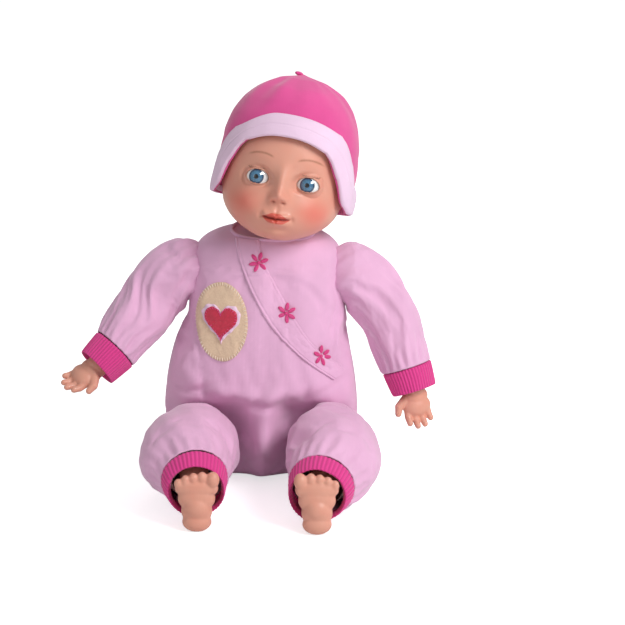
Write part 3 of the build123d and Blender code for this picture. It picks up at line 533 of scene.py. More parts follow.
def one_lash(shape, centre, swing):
    """A tapered hair that leaves the lid's edge, curving up."""
    root = Vector((math.sin(swing) * math.cos(LID_ANGLE), -math.cos(swing) * math.cos(LID_ANGLE),
                   math.sin(LID_ANGLE)))
    length = 2.4 + 0.7 * abs(math.sin(swing))
    hair = bmesh.ops.create_cone(shape, cap_ends=True, segments=5, radius1=0.16, radius2=0.02,
                                 depth=length)["verts"]
    out = (root + Vector((0.55 * math.sin(swing), 0, 0.18))).normalized()
    turn = out.to_track_quat("Z", "Y").to_matrix()
    for corner in hair:
        along = corner.co.z + length / 2
        local = turn @ Vector((corner.co.x, corner.co.y, along)) + Vector((0, 0, 0.06 * along ** 2))
        corner.co = in_head(*(centre + root * (EYE_R + 0.05) + local)) * MM


for side, side_name in ((-1, "left"), (1, "right")):
    middle = Vector((FACE_X + side * EYE_HALF, EYE_DEPTH, 0))
    orb = bmesh.new()
    bmesh.ops.create_uvsphere(orb, u_segments=64, v_segments=48, radius=EYE_R)
    for corner in orb.verts:
        away = math.hypot(corner.co.x + LOOK_LEFT, corner.co.z)
        if corner.co.y < 0:
            corner.co.y -= 0.8 * ramp(away, IRIS_R + 0.6, 0)
        corner.co = in_head(*(middle + corner.co)) * MM
    bmesh.ops.recalc_face_normals(orb, faces=orb.faces)
    eye = to_object(orb, f"doll_eye_{side_name}")
    eye.data.materials.append(eye_finish(f"eye_gloss_{side_name}", in_head(*middle)))
    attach(eye, "eyes")
    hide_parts(f"eyeball_{side_name}")
    hairs = bmesh.new()
    for number in range(LASHES):
        one_lash(hairs, middle, math.radians(-44 + 88 * number / (LASHES - 1)))
    lashes = to_object(hairs, f"lashes_{side_name}")
    lashes.data.materials.append(lash_black)
    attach(lashes, "eyes")
print("eyes made")

# %% [markdown]
# ## The hat
# The hat is a tube of jersey gathered to a small knot on top, with a wide band turned up round its
# edge. Both are sheets on the same outline, so they share one function for it.

# %% Hat
# height, centre in depth, half width, half depth
HAT_ROWS = [(-22, 5, 56.5, 62), (-4, 4.7, 56.8, 62), (14, 4.5, 57, 62), (32, 4.6, 55.8, 60.8),
            (48, 5, 52, 57), (62, 6, 44, 49), (73, 6.4, 33, 37), (81.5, 6.5, 18, 20), (86, 6.5, 0, 0)]
# depth and height along the hat's lower edge and along the top of its band, seen from the side
HAT_EDGE = [(-70, 37), (-57, 36), (-46, 27), (-35, 7), (-25, -11), (-12, -18), (20, -20.5), (80, -25)]
BRIM_TOP = [(-70, 56), (-52, 55), (-34, 43), (-20, 20), (-11, 5), (0, 1), (20, -1), (80, -6)]
HAT_TOP = HAT_ROWS[-1][0] - 0.1


def on_line(points, depth):
    """The height of a side-view line at a depth."""
    for (y0, z0), (y1, z1) in zip(points, points[1:]):
        if depth <= y1:
            return z0 + (z1 - z0) * ramp((depth - y0) / (y1 - y0), -0.15, 1.15)
    return points[-1][1]


def hat_row(height):
    where = 0.0
    for step, (low, high) in enumerate(zip(HAT_ROWS, HAT_ROWS[1:])):
        if height >= low[0]:
            where = step + min((height - low[0]) / (high[0] - low[0]), 1)
    return through(HAT_ROWS, where)


def edge_height(line, angle):
    height = 0.0
    for _ in range(12):
        row = hat_row(height)
        height = 0.5 * height + 0.5 * on_line(line, row[1] + row[3] * math.sin(angle))
    return height


def hat_point(angle, height, out):
    row = hat_row(height)
    return in_head((max(row[2], 0) + out) * math.cos(angle),
                   row[1] + (max(row[3], 0) + out) * math.sin(angle), height)


def crown_place(u, v):
    angle = 2 * math.pi * u
    low = edge_height(HAT_EDGE, angle)
    rise = 1 - (1 - v) ** 1.35
    height = low + (HAT_TOP - low) * rise
    gather = ramp(height, 44, 78)
    folds = (0.9 * math.sin(7 * angle + 1.3) + 0.6 * math.sin(12 * angle)) * gather * ramp(height, HAT_TOP, 76)
    soft = 1.5 * noise.noise(Vector((2.2 * math.cos(angle), 2.2 * math.sin(angle), height * 0.035)))
    slack = soft + folds - 0.9 * ramp(height, 34, 26)
    place = hat_point(angle, height, slack if v > 0 else -0.4)
    return place + HEAD_UP * (0.8 * gather * math.sin(9 * angle) * ramp(height, HAT_TOP, 72))


def brim_place(u, v):
    """Across the band: v runs from inside its rolled edge, round it, and up to its hemmed top."""
    angle = 2 * math.pi * u
    low, top = edge_height(HAT_EDGE, angle), edge_height(BRIM_TOP, angle)
    top -= 7 * ramp(-math.cos(angle), 0.2, 0.8)
    roll = ramp(v, 0.10, 0.26)
    height = low - 0.6 + (7 * (0.18 - v) / 0.18 if v < 0.18 else (top - low) * (v - 0.18) / 0.82)
    bulge = 0.8 * math.sin(math.pi * max(v - 0.18, 0) / 0.82)
    stitch = 0.55 * bell(v - 0.62, 0.022) + 0.35 * bell(v - 0.97, 0.03)
    wave = 0.8 * noise.noise(Vector((3 * math.cos(angle), 3 * math.sin(angle), v * 2)))
    out = -1.7 + 3.9 * roll + bulge - stitch + wave * roll
    return hat_point(angle, height, min(out, 3.2))


def knot_place(u, v):
    angle = 2 * math.pi * u
    lean = Vector((-3 - 1.5 * v, 6.5, 0))
    radius = 3.2 * math.sqrt(max(1 - (2 * v - 1) ** 2, 0)) + 0.4 * math.sin(5 * angle) * v * (1 - v) * 4
    return in_head(lean.x + radius * math.cos(angle), lean.y + radius * math.sin(angle),
                   HAT_TOP - 1.6 + 3.6 * v)


crown = thicken(wrapped_grid("hat_crown_cloth", 160, 60, crown_place), 1.2)
crown.data.materials.append(hat_jersey)
brim = thicken(wrapped_grid("hat_brim_cloth", 200, 40, brim_place), 1.1)
brim.data.materials.append(brim_jersey)
knot = wrapped_grid("hat_knot", 40, 20, knot_place)
knot.data.materials.append(hat_jersey)
for piece, node, slot in ((crown, "hat_crown", "magenta_jersey"), (brim, "hat_brim", "romper_jersey"),
                          (knot, "hat_tip", "magenta_jersey")):
    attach(piece, "hat")
    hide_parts(node)
print("hat made")

# %% [markdown]
# ## Settling cloth
# A padded garment swells against its seams, and its spare cloth makes the folds. Blender's cloth
# solver finds both: the stuffing is a pressure, and a slightly larger sheet gives it cloth to fold.


# %% Cloth simulation
def settle(piece, held, cap, pressure=3.0, spare=0.022, frames=18):
    """Lets a sheet swell and fold, and moves no corner further than the cap, in millimetres."""
    group = piece.vertex_groups.new(name="held")
    for corner in piece.data.vertices:
        group.add([corner.index], held(corner.co / MM), "REPLACE")
    cloth = piece.modifiers.new("cloth", "CLOTH")
    settings = cloth.settings
    settings.quality = 5
    settings.mass = 0.15
    settings.use_pressure = True
    settings.uniform_pressure_force = pressure
    settings.shrink_min = -spare
    settings.vertex_group_mass = "held"
    settings.effector_weights.gravity = 0
    settings.bending_stiffness = 1.5
    cloth.point_cache.frame_start, cloth.point_cache.frame_end = 1, frames
    for step in range(1, frames + 1):
        bpy.context.scene.frame_set(step)
    graph = bpy.context.evaluated_depsgraph_get()
    settled = piece.evaluated_get(graph).data
    for corner, moved in zip(piece.data.vertices, settled.vertices):
        step = moved.co - corner.co
        most = cap * MM
        corner.co += step * (most * math.tanh(step.length / most) / step.length if step.length else 0)
    piece.modifiers.clear()
    piece.vertex_groups.clear()
    bpy.context.scene.frame_set(1)
    piece.data.update()
    return piece


# %% [markdown]
# ## The romper's trunk
# The trunk is one rounded bag from the seat to the neckline. It is cut back round the thighs, with
# the deep creases that they press into it, and soft folds run up the belly.

# %% Trunk
# height, centre across, centre in depth, half width, half depth
TRUNK_ROWS = [(0.4, 0, 18, 0, 0), (0.5, 0, 18, 34, 15), (1.2, 0, 18, 56, 25), (10, 0, 14, 71, 38.5),
              (34, -1, 8, 77, 50), (62, -1, 8, 78, 52), (86, -1, 9, 76, 51), (108, 0, 11, 72, 49),
              (124, 2, 12, 68, 47), (142, 4, 13, 64.5, 45), (166, 4, 15, 64, 41.5), (184, 4.5, 15.5, 61.5, 38),
              (195, 5.5, 15, 56, 35), (202, 7, 14, 46, 32), (205.5, 9, 13.5, 34, 29)]
NECK = Vector((9, 13, 200))
HIP_Y, HIP_Z, HIP_R = -45.0, 38.5, 35.5
HIP_X = {"left": -56.0, "right": 57.0}
LIFT = math.radians(27)
CLOTH_WALL = 1.0
MOST_SWELL = 3.0
CROTCH_ROUND = 13
FOLD_DEPTH = 1.4


def room_back(x, z, y):
    """A place's depth, moved back softly beside a thigh, which the trunk has to let lift."""
    for hip_x in HIP_X.values():
        beside = ramp(abs(x - hip_x), 58, 30)
        reach = HIP_R - 1.0
        tangent = HIP_Z + reach * math.cos(LIFT)
        if z < tangent:
            back = HIP_Y + math.sqrt(max(reach ** 2 - (z - HIP_Z) ** 2, 0)) if z > HIP_Z else HIP_Y + reach
        else:
            back = HIP_Y + (reach - (z - HIP_Z) * math.cos(LIFT)) / math.sin(LIFT)
        kept = 0.5 * (y + back + math.sqrt((y - back) ** 2 + CROTCH_ROUND ** 2))
        y += max(kept - y, 0) * beside
    return y


def belly_folds(x, z, front):
    """Soft folds of the jersey over the belly and chest."""
    swell = -2.6 * bell(x + 4 - 0.16 * (z - 60), 3.6) * ramp(z, 100, 72) * ramp(z, 18, 40)
    swell += 2.2 * bell(x - 8 - 0.16 * (z - 60), 7) * ramp(z, 104, 74)
    swell -= 1.9 * bell(z - 82 - 0.35 * (x + 52) - 0.012 * (x + 52) ** 2, 3.0) * bell(x + 58, 17)
    swell -= 1.4 * bell(x + 55 + 0.15 * (z - 140), 3.2) * bell(z - 136, 28)
    swell -= 1.4 * bell(x - 60 - 0.1 * (z - 140), 3.2) * bell(z - 136, 28)
    crease = abs(x - 1) - 0.42 * (z - 14)
    swell -= 2.8 * bell(crease, 3.4) * ramp(z, 10, 22) * ramp(z, 62, 44)
    swell += 2.0 * bell(crease + 8, 6) * ramp(z, 8, 20) * ramp(z, 60, 40)
    swell -= 2.4 * bell(z - 70 - 0.004 * (x + 6) ** 2 + 0.05 * x, 3.2) * bell(x + 6, 42)
    swell += 2.0 * bell(z - 79 - 0.004 * (x + 6) ** 2 + 0.05 * x, 6) * bell(x + 6, 46)
    swell -= 1.6 * bell(x - 34 - 0.22 * (z - 70), 3.2) * ramp(z, 96, 74) * ramp(z, 40, 58)
    swell -= 1.5 * bell(x + 44 + 0.12 * (z - 60), 3.0) * ramp(z, 104, 80) * ramp(z, 30, 50)
    swell += 2.2 * noise.noise(Vector((x * 0.05, 3.1, z * 0.016))) * ramp(z, 196, 170)
    swell += 1.4 * noise.noise(Vector((x * 0.11 + z * 0.03, 7.7, z * 0.02))) * ramp(z, 120, 90)
    return swell * front * FOLD_DEPTH


def trunk_place(u, v, inset=0.0):
    angle = 2 * math.pi * u
    height, x, y, wide, deep = through(TRUNK_ROWS, v * (len(TRUNK_ROWS) - 1))
    across, depth = rounded(angle, max(wide - inset, 0), max(deep - inset, 0), 2.3)
    height += inset * ramp(height, 100, 0)
    lean = ramp(height, 176, 202)
    height -= lean * (0.03 * (x + across - NECK.x) - 0.07 * (y + depth - NECK.y))
    front = ramp(-math.sin(angle), 0.0, 0.6)
    swell = belly_folds(x + across, height, front)
    back_fold = 1.3 * noise.noise(Vector((across * 0.03, 9.0, height * 0.02))) * ramp(math.sin(angle), 0, 0.6)
    depth -= swell
    depth += back_fold
    place = Vector((x + across, y + depth, height))
    place.y = room_back(place.x, place.z, place.y - inset) + inset
    return place


def trunk_held(place):
    at_neck = ramp(place.z, 178, 190)
    at_seat = ramp(place.z, 10, 2)
    at_arms = max(ramp(math.hypot(place.y - 14, place.z - 172), 34, 27) * ramp(abs(place.x - 4), 50, 57), 0)
    at_legs = ramp(place.y, -18, -30) * ramp(place.z, 88, 72)
    return max(at_neck, at_seat, at_arms, at_legs, 0.55 * ramp(-place.y, 20, 30))


trunk = settle(wrapped_grid("romper_trunk", 150, 120, trunk_place), trunk_held, MOST_SWELL)
trunk = thicken(trunk, CLOTH_WALL)
trunk.data.materials.append(romper_jersey)
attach(trunk, "torso")
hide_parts("romper_body")
lining = wrapped_grid("body_cloth_torso", 100, 80, lambda u, v: trunk_place(u, v * 0.93, 4.5))
body_cloth = woven("body_cloth", solid(0.86, 0.70, 0.60))
lining.data.materials.append(body_cloth)
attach(lining, "torso")
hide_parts("torso_cloth")
filling = wrapped_grid("fibre_filling", 100, 80, lambda u, v: trunk_place(u, v * 0.88, 7.5))
filling.data.materials.append(woven("fibre_fill", solid(0.86, 0.86, 0.85), 3.0))
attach(filling, "torso")
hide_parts("torso_stuffing")


def binding_place(u, v):
    """A rolled hem along the neckline."""
    edge, turn = trunk_place(u, 1.0), 2 * math.pi * v
    outward = Vector((edge.x - NECK.x, edge.y - NECK.y, 0)).normalized()
    return edge + outward * (1.5 * math.cos(turn) - 0.6) + Vector((0, 0, 1.5 * math.sin(turn) + 0.2))


def facing_place(u, v):
    """The cloth inside the neckline, drawn in under the head."""
    return trunk_place(u, 1.0).lerp(Vector((NECK.x, NECK.y, 197)), v)


neck_facing = wrapped_grid("neck_facing", 150, 12, facing_place)
neck_facing.data.materials.append(romper_jersey)
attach(neck_facing, "torso")
binding = wrapped_grid("neck_binding", 150, 16, binding_place)
binding.data.materials.append(romper_jersey)
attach(binding, "torso")
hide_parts("neckline_binding")
print("trunk made")

# %% [markdown]
# ## Sleeves and trouser legs
# Each is a tube that runs through a few round stations. Long drape folds run down it, and short
# ones bunch where a seam gathers it into the cuff. A slimmer plain tube in it is the stuffed limb.


# %% Tubes of cloth
def station(centre, direction, wide, high=None):
    return (*centre, *Vector(direction).normalized(), wide, high or wide)


def tube_point(rows, v, angle, swell, square=2.0):
    row = through(rows, v * (len(rows) - 1))
    centre, facing = Vector(row[0:3]), Vector(row[3:6]).normalized()
    side = Vector((0, 0, 1)).cross(facing)
    side = side.normalized() if side.length > 0.2 else Vector((1, 0, 0))
    lift = facing.cross(side)
    wide, high = max(row[6], 0), max(row[7], 0)
    across, up = rounded(angle, wide + swell * (wide > 1), high + swell * (high > 1), square)
    return centre + side * across + lift * up


GATHERS = 19


def drape(angle, v, seed, strength):
    """Folds round a tube: long ones along it, and short gathers at its far seam."""
    turn = Vector((math.cos(angle), math.sin(angle), 0))
    long_folds = noise.noise(turn * 1.9 + Vector((seed, 0, v * 0.9)))
    twisted = angle + 1.6 * v
    slant = noise.noise(Vector((math.cos(twisted) * 3.4, math.sin(twisted) * 3.4, seed + v * 2.2)))
    gathers = math.sin(GATHERS * angle + seed) * ramp(v, 0.80, 0.95) * ramp(v, 1.0, 0.975)
    return strength * (3.4 * long_folds + 2.4 * slant - 0.6) * ramp(v, 0.0, 0.12) * ramp(v, 1.0, 0.92) + 0.7 * gathers


SLEEVES = {
    "left": [station((-47, 14, 173), (-1, 0, 0), 17), station((-55, 14, 173), (-1, 0, 0), 23),
             station((-66, 13.5, 171.5), (-0.97, -0.03, -0.2), 26),
             station((-84, 11, 156), (-0.72, -0.12, -0.68), 25.5),
             station((-101, 3, 135), (-0.62, -0.32, -0.72), 25),
             station((-120, -10, 112), (-0.68, -0.36, -0.64), 20)],
    "right": [station((55, 14, 170), (1, 0, 0), 17), station((63, 14, 170), (1, 0, 0), 23),
              station((74, 13.5, 168.5), (0.97, -0.03, -0.2), 26),
              station((91, 11, 153), (0.70, -0.10, -0.70), 25.5),
              station((107, 4, 127), (0.50, -0.20, -0.84), 25),
              station((118.5, -5, 95), (0.30, -0.18, -0.93), 20.5)],
}
SLEEVE_ENDS = {"left": station((-135, -18.5, 98.5), (-0.70, -0.38, -0.60), 17.5),
               "right": station((125, -9, 76), (0.30, -0.20, -0.93), 18)}
TROUSERS = {
    "left": [station((-56, -10.5, 38.5), (0, -1, 0), 1, 1), station((-56, -14, 38.5), (0, -1, 0), 16),
             station((-56, -24, 38.5), (0, -1, 0), 29.5, 28.5), station((-56, -45, 38.5), (0, -1, 0), 36.5, 35.5),
             station((-58, -70, 41), (-0.08, -0.99, 0.03), 38, 35.5),
             station((-58, -93, 41), (0.14, -0.98, -0.10), 35, 32),
             station((-51, -115, 35.5), (0.16, -0.96, -0.20), 26.5)],
    "right": [station((57, -10.5, 38.5), (0, -1, 0), 1, 1), station((57, -14, 38.5), (0, -1, 0), 16),
              station((57, -24, 38.5), (0, -1, 0), 29.5, 28.5), station((57, -45, 38.5), (0, -1, 0), 36, 35.5),
              station((58, -70, 38.5), (0.06, -0.99, 0.02), 37.5, 35.5),
              station((57, -95, 37), (-0.15, -0.98, -0.09), 34.5, 31.8),
              station((48.5, -119, 32), (-0.18, -0.965, -0.18), 26.5)],
}
TROUSER_ENDS = {"left": station((-49, -129, 30), (0.06, -0.99, -0.12), 22),
                "right": station((45, -134, 28), (-0.08, -0.99, -0.10), 22.3)}


def cloth_tube(name, rows, seed, strength, around=120, along=90):
    def place(u, v):
        angle = 2 * math.pi * u
        spot = tube_point(rows, v, angle, drape(angle, v, seed, strength))
        spot.z = max(spot.z, 0.5)
        return spot
    return wrapped_grid(name, around, along, place)


def slimmer(rows, less):
    """The same stations with smaller rounds, for the stuffed limb inside a sleeve."""
    return [(*row[0:6], row[6] - less, row[7] - less) for row in rows]


def cuff(name, seam, end, seed):
    """A ribbed cuff: a band that starts inside the seam and rolls in at its free edge."""
    over = Vector(end[0:3]) - Vector(end[3:6]) * 4
    rows = [seam, (*(Vector(seam[0:3]) * 0.5 + Vector(end[0:3]) * 0.5), *seam[3:6],
                   (seam[6] + end[6]) / 2 + 0.3, (seam[7] + end[7]) / 2 + 0.3),
            end, (*over, *end[3:6], end[6] - 2.2, end[7] - 2.2)]

    def place(u, v):
        angle = 2 * math.pi * u
        tuck = -2.4 * ramp(v, 0.07, 0.0)
        ribs = 0.22 * math.sin(CUFF_RIBS * angle)
        wobble = 0.8 * noise.noise(Vector((math.cos(angle), math.sin(angle), seed)) * 1.4)
        spot = tube_point(rows, v, angle, tuck + ribs + wobble)
        spot.z = max(spot.z, 0.5)
        return spot
    return thicken(wrapped_grid(name, 6 * CUFF_RIBS, 26, place), CLOTH_WALL)


for number, side_name in enumerate(("left", "right")):
    rows, end = SLEEVES[side_name], SLEEVE_ENDS[side_name]
    sleeve = cloth_tube(f"sleeve_cloth_{side_name}", rows, 4.0 + number, 1.0)
    shoulder_x, wrist = rows[0][0], Vector(rows[-1][0:3])
    sleeve = settle(sleeve, lambda p: max(ramp(abs(p.x - shoulder_x), 22, 12),
                                          ramp((p - wrist).length, 27, 21)), MOST_SWELL)
    sleeve = thicken(sleeve, CLOTH_WALL)
    sleeve.data.materials.append(romper_jersey)
    band = cuff(f"cuff_cloth_{side_name}", rows[-1], end, 2.0 + number)
    band.data.materials.append(cuff_rib)
    leg_rows, leg_end = TROUSERS[side_name], TROUSER_ENDS[side_name]
    leg = cloth_tube(f"trouser_cloth_{side_name}", leg_rows, 7.0 + number, 0.9)
    seam = Vector(leg_rows[-1][0:3])
    leg = settle(leg, lambda p: max(ramp(p.y, -40, -26), ramp((p - seam).length, 34, 27),
                                    ramp(p.z, 8, 3)), MOST_SWELL)
    leg = thicken(leg, CLOTH_WALL)
    leg.data.materials.append(romper_jersey)
    leg_band = cuff(f"trouser_cuff_cloth_{side_name}", leg_rows[-1], leg_end, 5.0 + number)
    leg_band.data.materials.append(cuff_rib)
    inner_arm = cloth_tube(f"inner_arm_{side_name}", slimmer(rows, 8), 1.0, 0.0, 60, 40)
    inner_leg = cloth_tube(f"inner_leg_{side_name}", slimmer(leg_rows, 9), 1.0, 0.0, 60, 40)
    for piece in (inner_arm, inner_leg):
        piece.data.materials.append(body_cloth)
    for piece, body, node, slot in (
            (inner_arm, "arm", "upper_arm", "body_cloth"), (inner_leg, "leg", "thigh", "body_cloth"),
            (sleeve, "arm", "sleeve", "romper_jersey"), (band, "arm", "sleeve_cuff", "magenta_rib"),
            (leg, "leg", "trouser_leg", "romper_jersey"), (leg_band, "leg", "trouser_cuff", "magenta_rib")):
        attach(piece, f"{body}_{side_name}")
        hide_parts(f"{node}_{side_name}")
print("sleeves, trouser legs and cuffs made")

# %% [markdown]
# ## Hands and feet
# Each is soft vinyl with short fat fingers or toes. Round lumps are laid out as a hand would be
# blocked in clay, and one voxel remesh melts them together.


# %% Lumps in a row
def facing(direction):
    return Vector(direction).normalized().to_track_quat("Z", "Y").to_matrix().to_4x4()


def chain(lumps, start, direction, length, radii, steps=7):
    """Round lumps along a line, from the first size to the last."""
    line = Vector(direction).normalized()
    for step in range(steps):
        part = step / (steps - 1)
        size = radii[0] + (radii[1] - radii[0]) * part
        lumps.append((Vector(start) + line * (length * part), Matrix.Identity(4), (size, size, size)))


SLEEVE_HANDS = {"left": ((-0.80, -0.30, -0.52), -1), "right": ((0.16, -0.22, -0.96), 1)}
for side_name, (palm_way, sign) in SLEEVE_HANDS.items():
    end = SLEEVE_ENDS[side_name]
    palm_way = Vector(palm_way).normalized()
    wrist = Vector(end[0:3])
    thumb_side = Vector((-sign * 0.9, -0.35, 0.1))
    thumb_side = (thumb_side - palm_way * thumb_side.dot(palm_way)).normalized()
    palm_out = palm_way.cross(thumb_side) * sign
    turn = Matrix((thumb_side, palm_out, palm_way)).transposed().to_4x4()
    lumps = []
    chain(lumps, wrist - Vector(end[3:6]) * 16, Vector(end[3:6]), 16, (11, 9.3))
    lumps.append((wrist + palm_way * 5, turn, (11, 8.4, 8)))
    lumps.append((wrist + palm_way * 13, turn, (12.4, 7.6, 9.5)))
    for finger in range(4):
        across = 8.4 - 5.6 * finger
        root = wrist + palm_way * (18 - 0.12 * across * across * 0.2) + thumb_side * across
        spread = palm_way + thumb_side * (across * 0.016)
        reach = (9.5, 11, 10.5, 8)[finger]
        chain(lumps, root, spread - palm_out * 0.12, reach * 0.55, (3.3, 3.1), 5)
        chain(lumps, root + (spread - palm_out * 0.12) * (reach * 0.55), spread - palm_out * 0.6,
              reach * 0.6, (3.0, 2.5), 5)
    chain(lumps, wrist + palm_way * 6 + thumb_side * 8, palm_way * 0.7 + thumb_side, 9.5, (4.3, 3.4))
    chain(lumps, wrist + palm_way * 11.4 + thumb_side * 15.6, palm_way + thumb_side * 0.3, 6, (3.4, 2.7))
    hand = melted(f"vinyl_hand_{side_name}", lumps, 0.62, 5)
    hand.data.materials.append(plain_vinyl(f"hand_vinyl_{side_name}"))
    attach(hand, f"arm_{side_name}")
    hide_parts(f"hand_{side_name}")

FOOT_ROWS = [(7, 7.4, 11.6, 8.2, 8), (16, 7.4, 12.3, 8.2, 11), (26, 7.2, 14.8, 7.4, 11), (34, 6.6, 17.2, 6.4, 8)]
TOES = [(12.8, 41.2, 5.3), (4.6, 42.8, 4.0), (-2.2, 42.2, 3.8), (-8.4, 40.6, 3.6), (-14, 38, 3.4)]
FEET = {"left": ((-48.5, -143, 0.8), 3, 1), "right": ((45, -151, 1.8), 8, -1)}
for side_name, (sole, tip_lean, toe_side) in FEET.items():
    tilt = Matrix.Rotation(math.radians(-tip_lean), 4, "X")
    lumps = []
    for height, back, wide, deep, tall in FOOT_ROWS:
        lumps.append((Vector(sole) + tilt @ Vector((0, back, height)), tilt, (wide, deep, tall)))
    for across, height, radius in TOES:
        spot = Vector(sole) + tilt @ Vector((toe_side * across, 5.2, height))
        lumps.append((spot, tilt, (radius, radius, radius * 1.25)))
        lumps.append((spot + tilt @ Vector((0, 1.2, -radius * 1.3)), tilt, (radius * 0.8, radius * 0.8, radius)))
    chain(lumps, Vector(sole) + tilt @ Vector((0, 9, 19)),
          Vector(TROUSERS[side_name][-1][0:3]) - Vector(sole) - Vector((0, 9, 19)), 30, (11.6, 11.8), 9)
    foot = melted(f"vinyl_foot_{side_name}", lumps, 0.7, 12)
    for corner in foot.data.vertices:
        corner.co.z = max(corner.co.z, 0.0004)
    foot.data.materials.append(plain_vinyl(f"foot_vinyl_{side_name}"))
    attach(foot, f"leg_{side_name}")
    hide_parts(f"foot_{side_name}")
print("hands and feet made")

# %% [markdown]
# ## What is sewn on
# The wrap edge, the motif and the flowers lie on the trunk wherever its folds went, so each point of
# them is dropped onto it along the doll's front.

# %% Lay things on the trunk
trunk_shape = bmesh.new()
trunk_shape.from_mesh(trunk.data)
trunk_tree = BVHTree.FromBMesh(trunk_shape)
trunk_shape.free()


def on_chest(x, z, out):
    """The place on the front of the trunk at a width and height, lifted off it by an amount."""
    start = Vector((x, -150, z)) * MM
    spot, normal, _, _ = trunk_tree.ray_cast(start, Vector((0, 1, 0)))
    if spot is None:
        spot, normal, _, _ = trunk_tree.find_nearest(Vector((x, -18, z)) * MM)
    if normal.y > 0:
        normal = -normal
    flat = Vector((normal.x, normal.y, normal.z * 0.6)).normalized()
    return spot / MM + flat * out


WRAP_LEFT = [(-21, 203.4), (-17, 186), (-9, 166), (5, 140), (21, 121), (39, 104.5), (58, 89)]
WRAP_RIGHT = [(-1, 203.6), (2, 189), (11, 171), (25, 146), (37, 127), (50, 111.5), (67, 97)]


def wrap_place(u, v):
    left = through(WRAP_LEFT, u * (len(WRAP_LEFT) - 1))
    right = through(WRAP_RIGHT, u * (len(WRAP_RIGHT) - 1))
    x, z = (left[side] + (right[side] - left[side]) * v for side in (0, 1))
    hem = 0.55 * bell(v - 0.13, 0.035) + 0.4 * bell(v - 0.88, 0.035)
    puff = 1.5 * ramp(v, -0.02, 0.07) * ramp(v, 1.02, 0.93)
    pucker = 0.35 * noise.noise(Vector((u * 16, v * 2, 1.0)))
    return on_chest(x, z, 0.25 + puff - hem + pucker)


wrap = wrapped_grid("wrap_band", 110, 36, wrap_place)
wrap.data.materials.append(romper_jersey)

stitching = Finish("embroidery_thread", roughness=0.45, sheen=0.4)
twist = stitching.bands("DIAGONAL", 700.0)
stitching.bump(twist, 0.12)
thread = stitching.paint(base_color=stitching.mix(twist, solid(0.60, 0.02, 0.16), solid(0.80, 0.05, 0.28)))
FLOWERS = [(-1.5, 187), (20, 147), (47.4, 110.5)]
PETAL_REACH = 4.9


def stitch(shape, spot, way, out, sizes, segments=10):
    """A raised stitch that lies along a direction on the cloth."""
    way, out = way.normalized(), out.normalized()
    turn = Matrix((way.cross(out), way, out)).transposed().to_4x4()
    place = Matrix.Translation(spot * MM) @ turn @ Matrix.Diagonal((*(Vector(sizes) * MM), 1))
    bmesh.ops.create_uvsphere(shape, u_segments=segments, v_segments=6, radius=1, matrix=place)


flower_shape = bmesh.new()
for number, (x, z) in enumerate(FLOWERS):
    middle = on_chest(x, z, 1.9)
    out = (on_chest(x, z, 3) - middle).normalized()
    side = Vector((0, 0, 1)).cross(out).normalized()
    up = out.cross(side)
    for petal in range(6):
        turn = math.radians(60 * petal + 14 + 11 * number)
        way = side * math.cos(turn) + up * math.sin(turn)
        tip = on_chest((middle + way * PETAL_REACH).x, (middle + way * PETAL_REACH).z, 2.0)
        stitch(flower_shape, tip, tip - middle, out, (1.75, 3.5, 0.8), 16)
    stitch(flower_shape, middle + out * 0.3, side, out, (1.6, 1.6, 1.0), 16)
flowers = to_object(flower_shape, "daisy_stitches")
flowers.data.materials.append(thread)

MOTIF = Vector((-32, 0, 139))
MOTIF_HALF = (21.5, 31.5)


def patch(name, outline, height, around=120, rings=16, ruffle=0.0):
    """A cloth shape on the chest, from its middle out to its outline."""
    def place(u, v):
        x, z = outline(2 * math.pi * u)
        wave = ruffle * math.sin(34 * math.pi * u) * ramp(v, 0.7, 1.0)
        lift = height * ramp(v, 1.04, 0.93) + wave
        return on_chest(MOTIF.x + x * v, MOTIF.z + z * v, lift)
    return wrapped_grid(name, around, rings, place)


def oval(angle):
    return (MOTIF_HALF[0] * math.cos(angle), MOTIF_HALF[1] * math.sin(angle))


def heart(angle, size=1.0):
    turn = math.pi / 2 - angle
    x = 16 * math.sin(turn) ** 3
    z = 13 * math.cos(turn) - 5 * math.cos(2 * turn) - 2 * math.cos(3 * turn) - math.cos(4 * turn)
    return (0.86 * size * x, 0.95 * size * z + 0.5)


felt_finish = Finish("felt", roughness=0.95, sheen=0.35)
pile = felt_finish.noise(700, 4)
felt_finish.bump(pile, 0.25)
felt = felt_finish.paint(base_color=felt_finish.mix(pile, solid(0.62, 0.42, 0.28), solid(0.82, 0.63, 0.46)))
satin_finish = Finish("red_cloth", roughness=0.55, sheen=0.4)
satin_weave = satin_finish.noise(420, 3)
satin_finish.bump(satin_weave, 0.12)
satin = satin_finish.paint(base_color=satin_finish.mix(
    satin_weave, solid(0.42, 0.005, 0.03), solid(0.66, 0.02, 0.07)))

oval_patch = patch("felt_oval", oval, 1.1)
oval_patch.data.materials.append(felt)
ruffle_patch = patch("heart_ruffle", lambda angle: heart(angle, 1.17), 1.9, 272, ruffle=0.5)
ruffle_patch.data.materials.append(brim_jersey)
heart_patch = patch("heart_patch", heart, 2.7)
heart_patch.data.materials.append(satin)


def stitched_round(name, outline, count, inset, height, length, finish):
    """Blanket stitches across an edge, evenly round it."""
    shape = bmesh.new()
    for number in range(count):
        x, z = outline(2 * math.pi * (number + 0.5) / count)
        spot = on_chest(MOTIF.x + x * inset, MOTIF.z + z * inset, height)
        inner = on_chest(MOTIF.x + x * inset * 0.9, MOTIF.z + z * inset * 0.9, height)
        stitch(shape, spot, inner - spot, Vector((0, -1, 0)), (0.36, length, 0.36), 8)
    piece = to_object(shape, name)
    piece.data.materials.append(finish)
    return piece


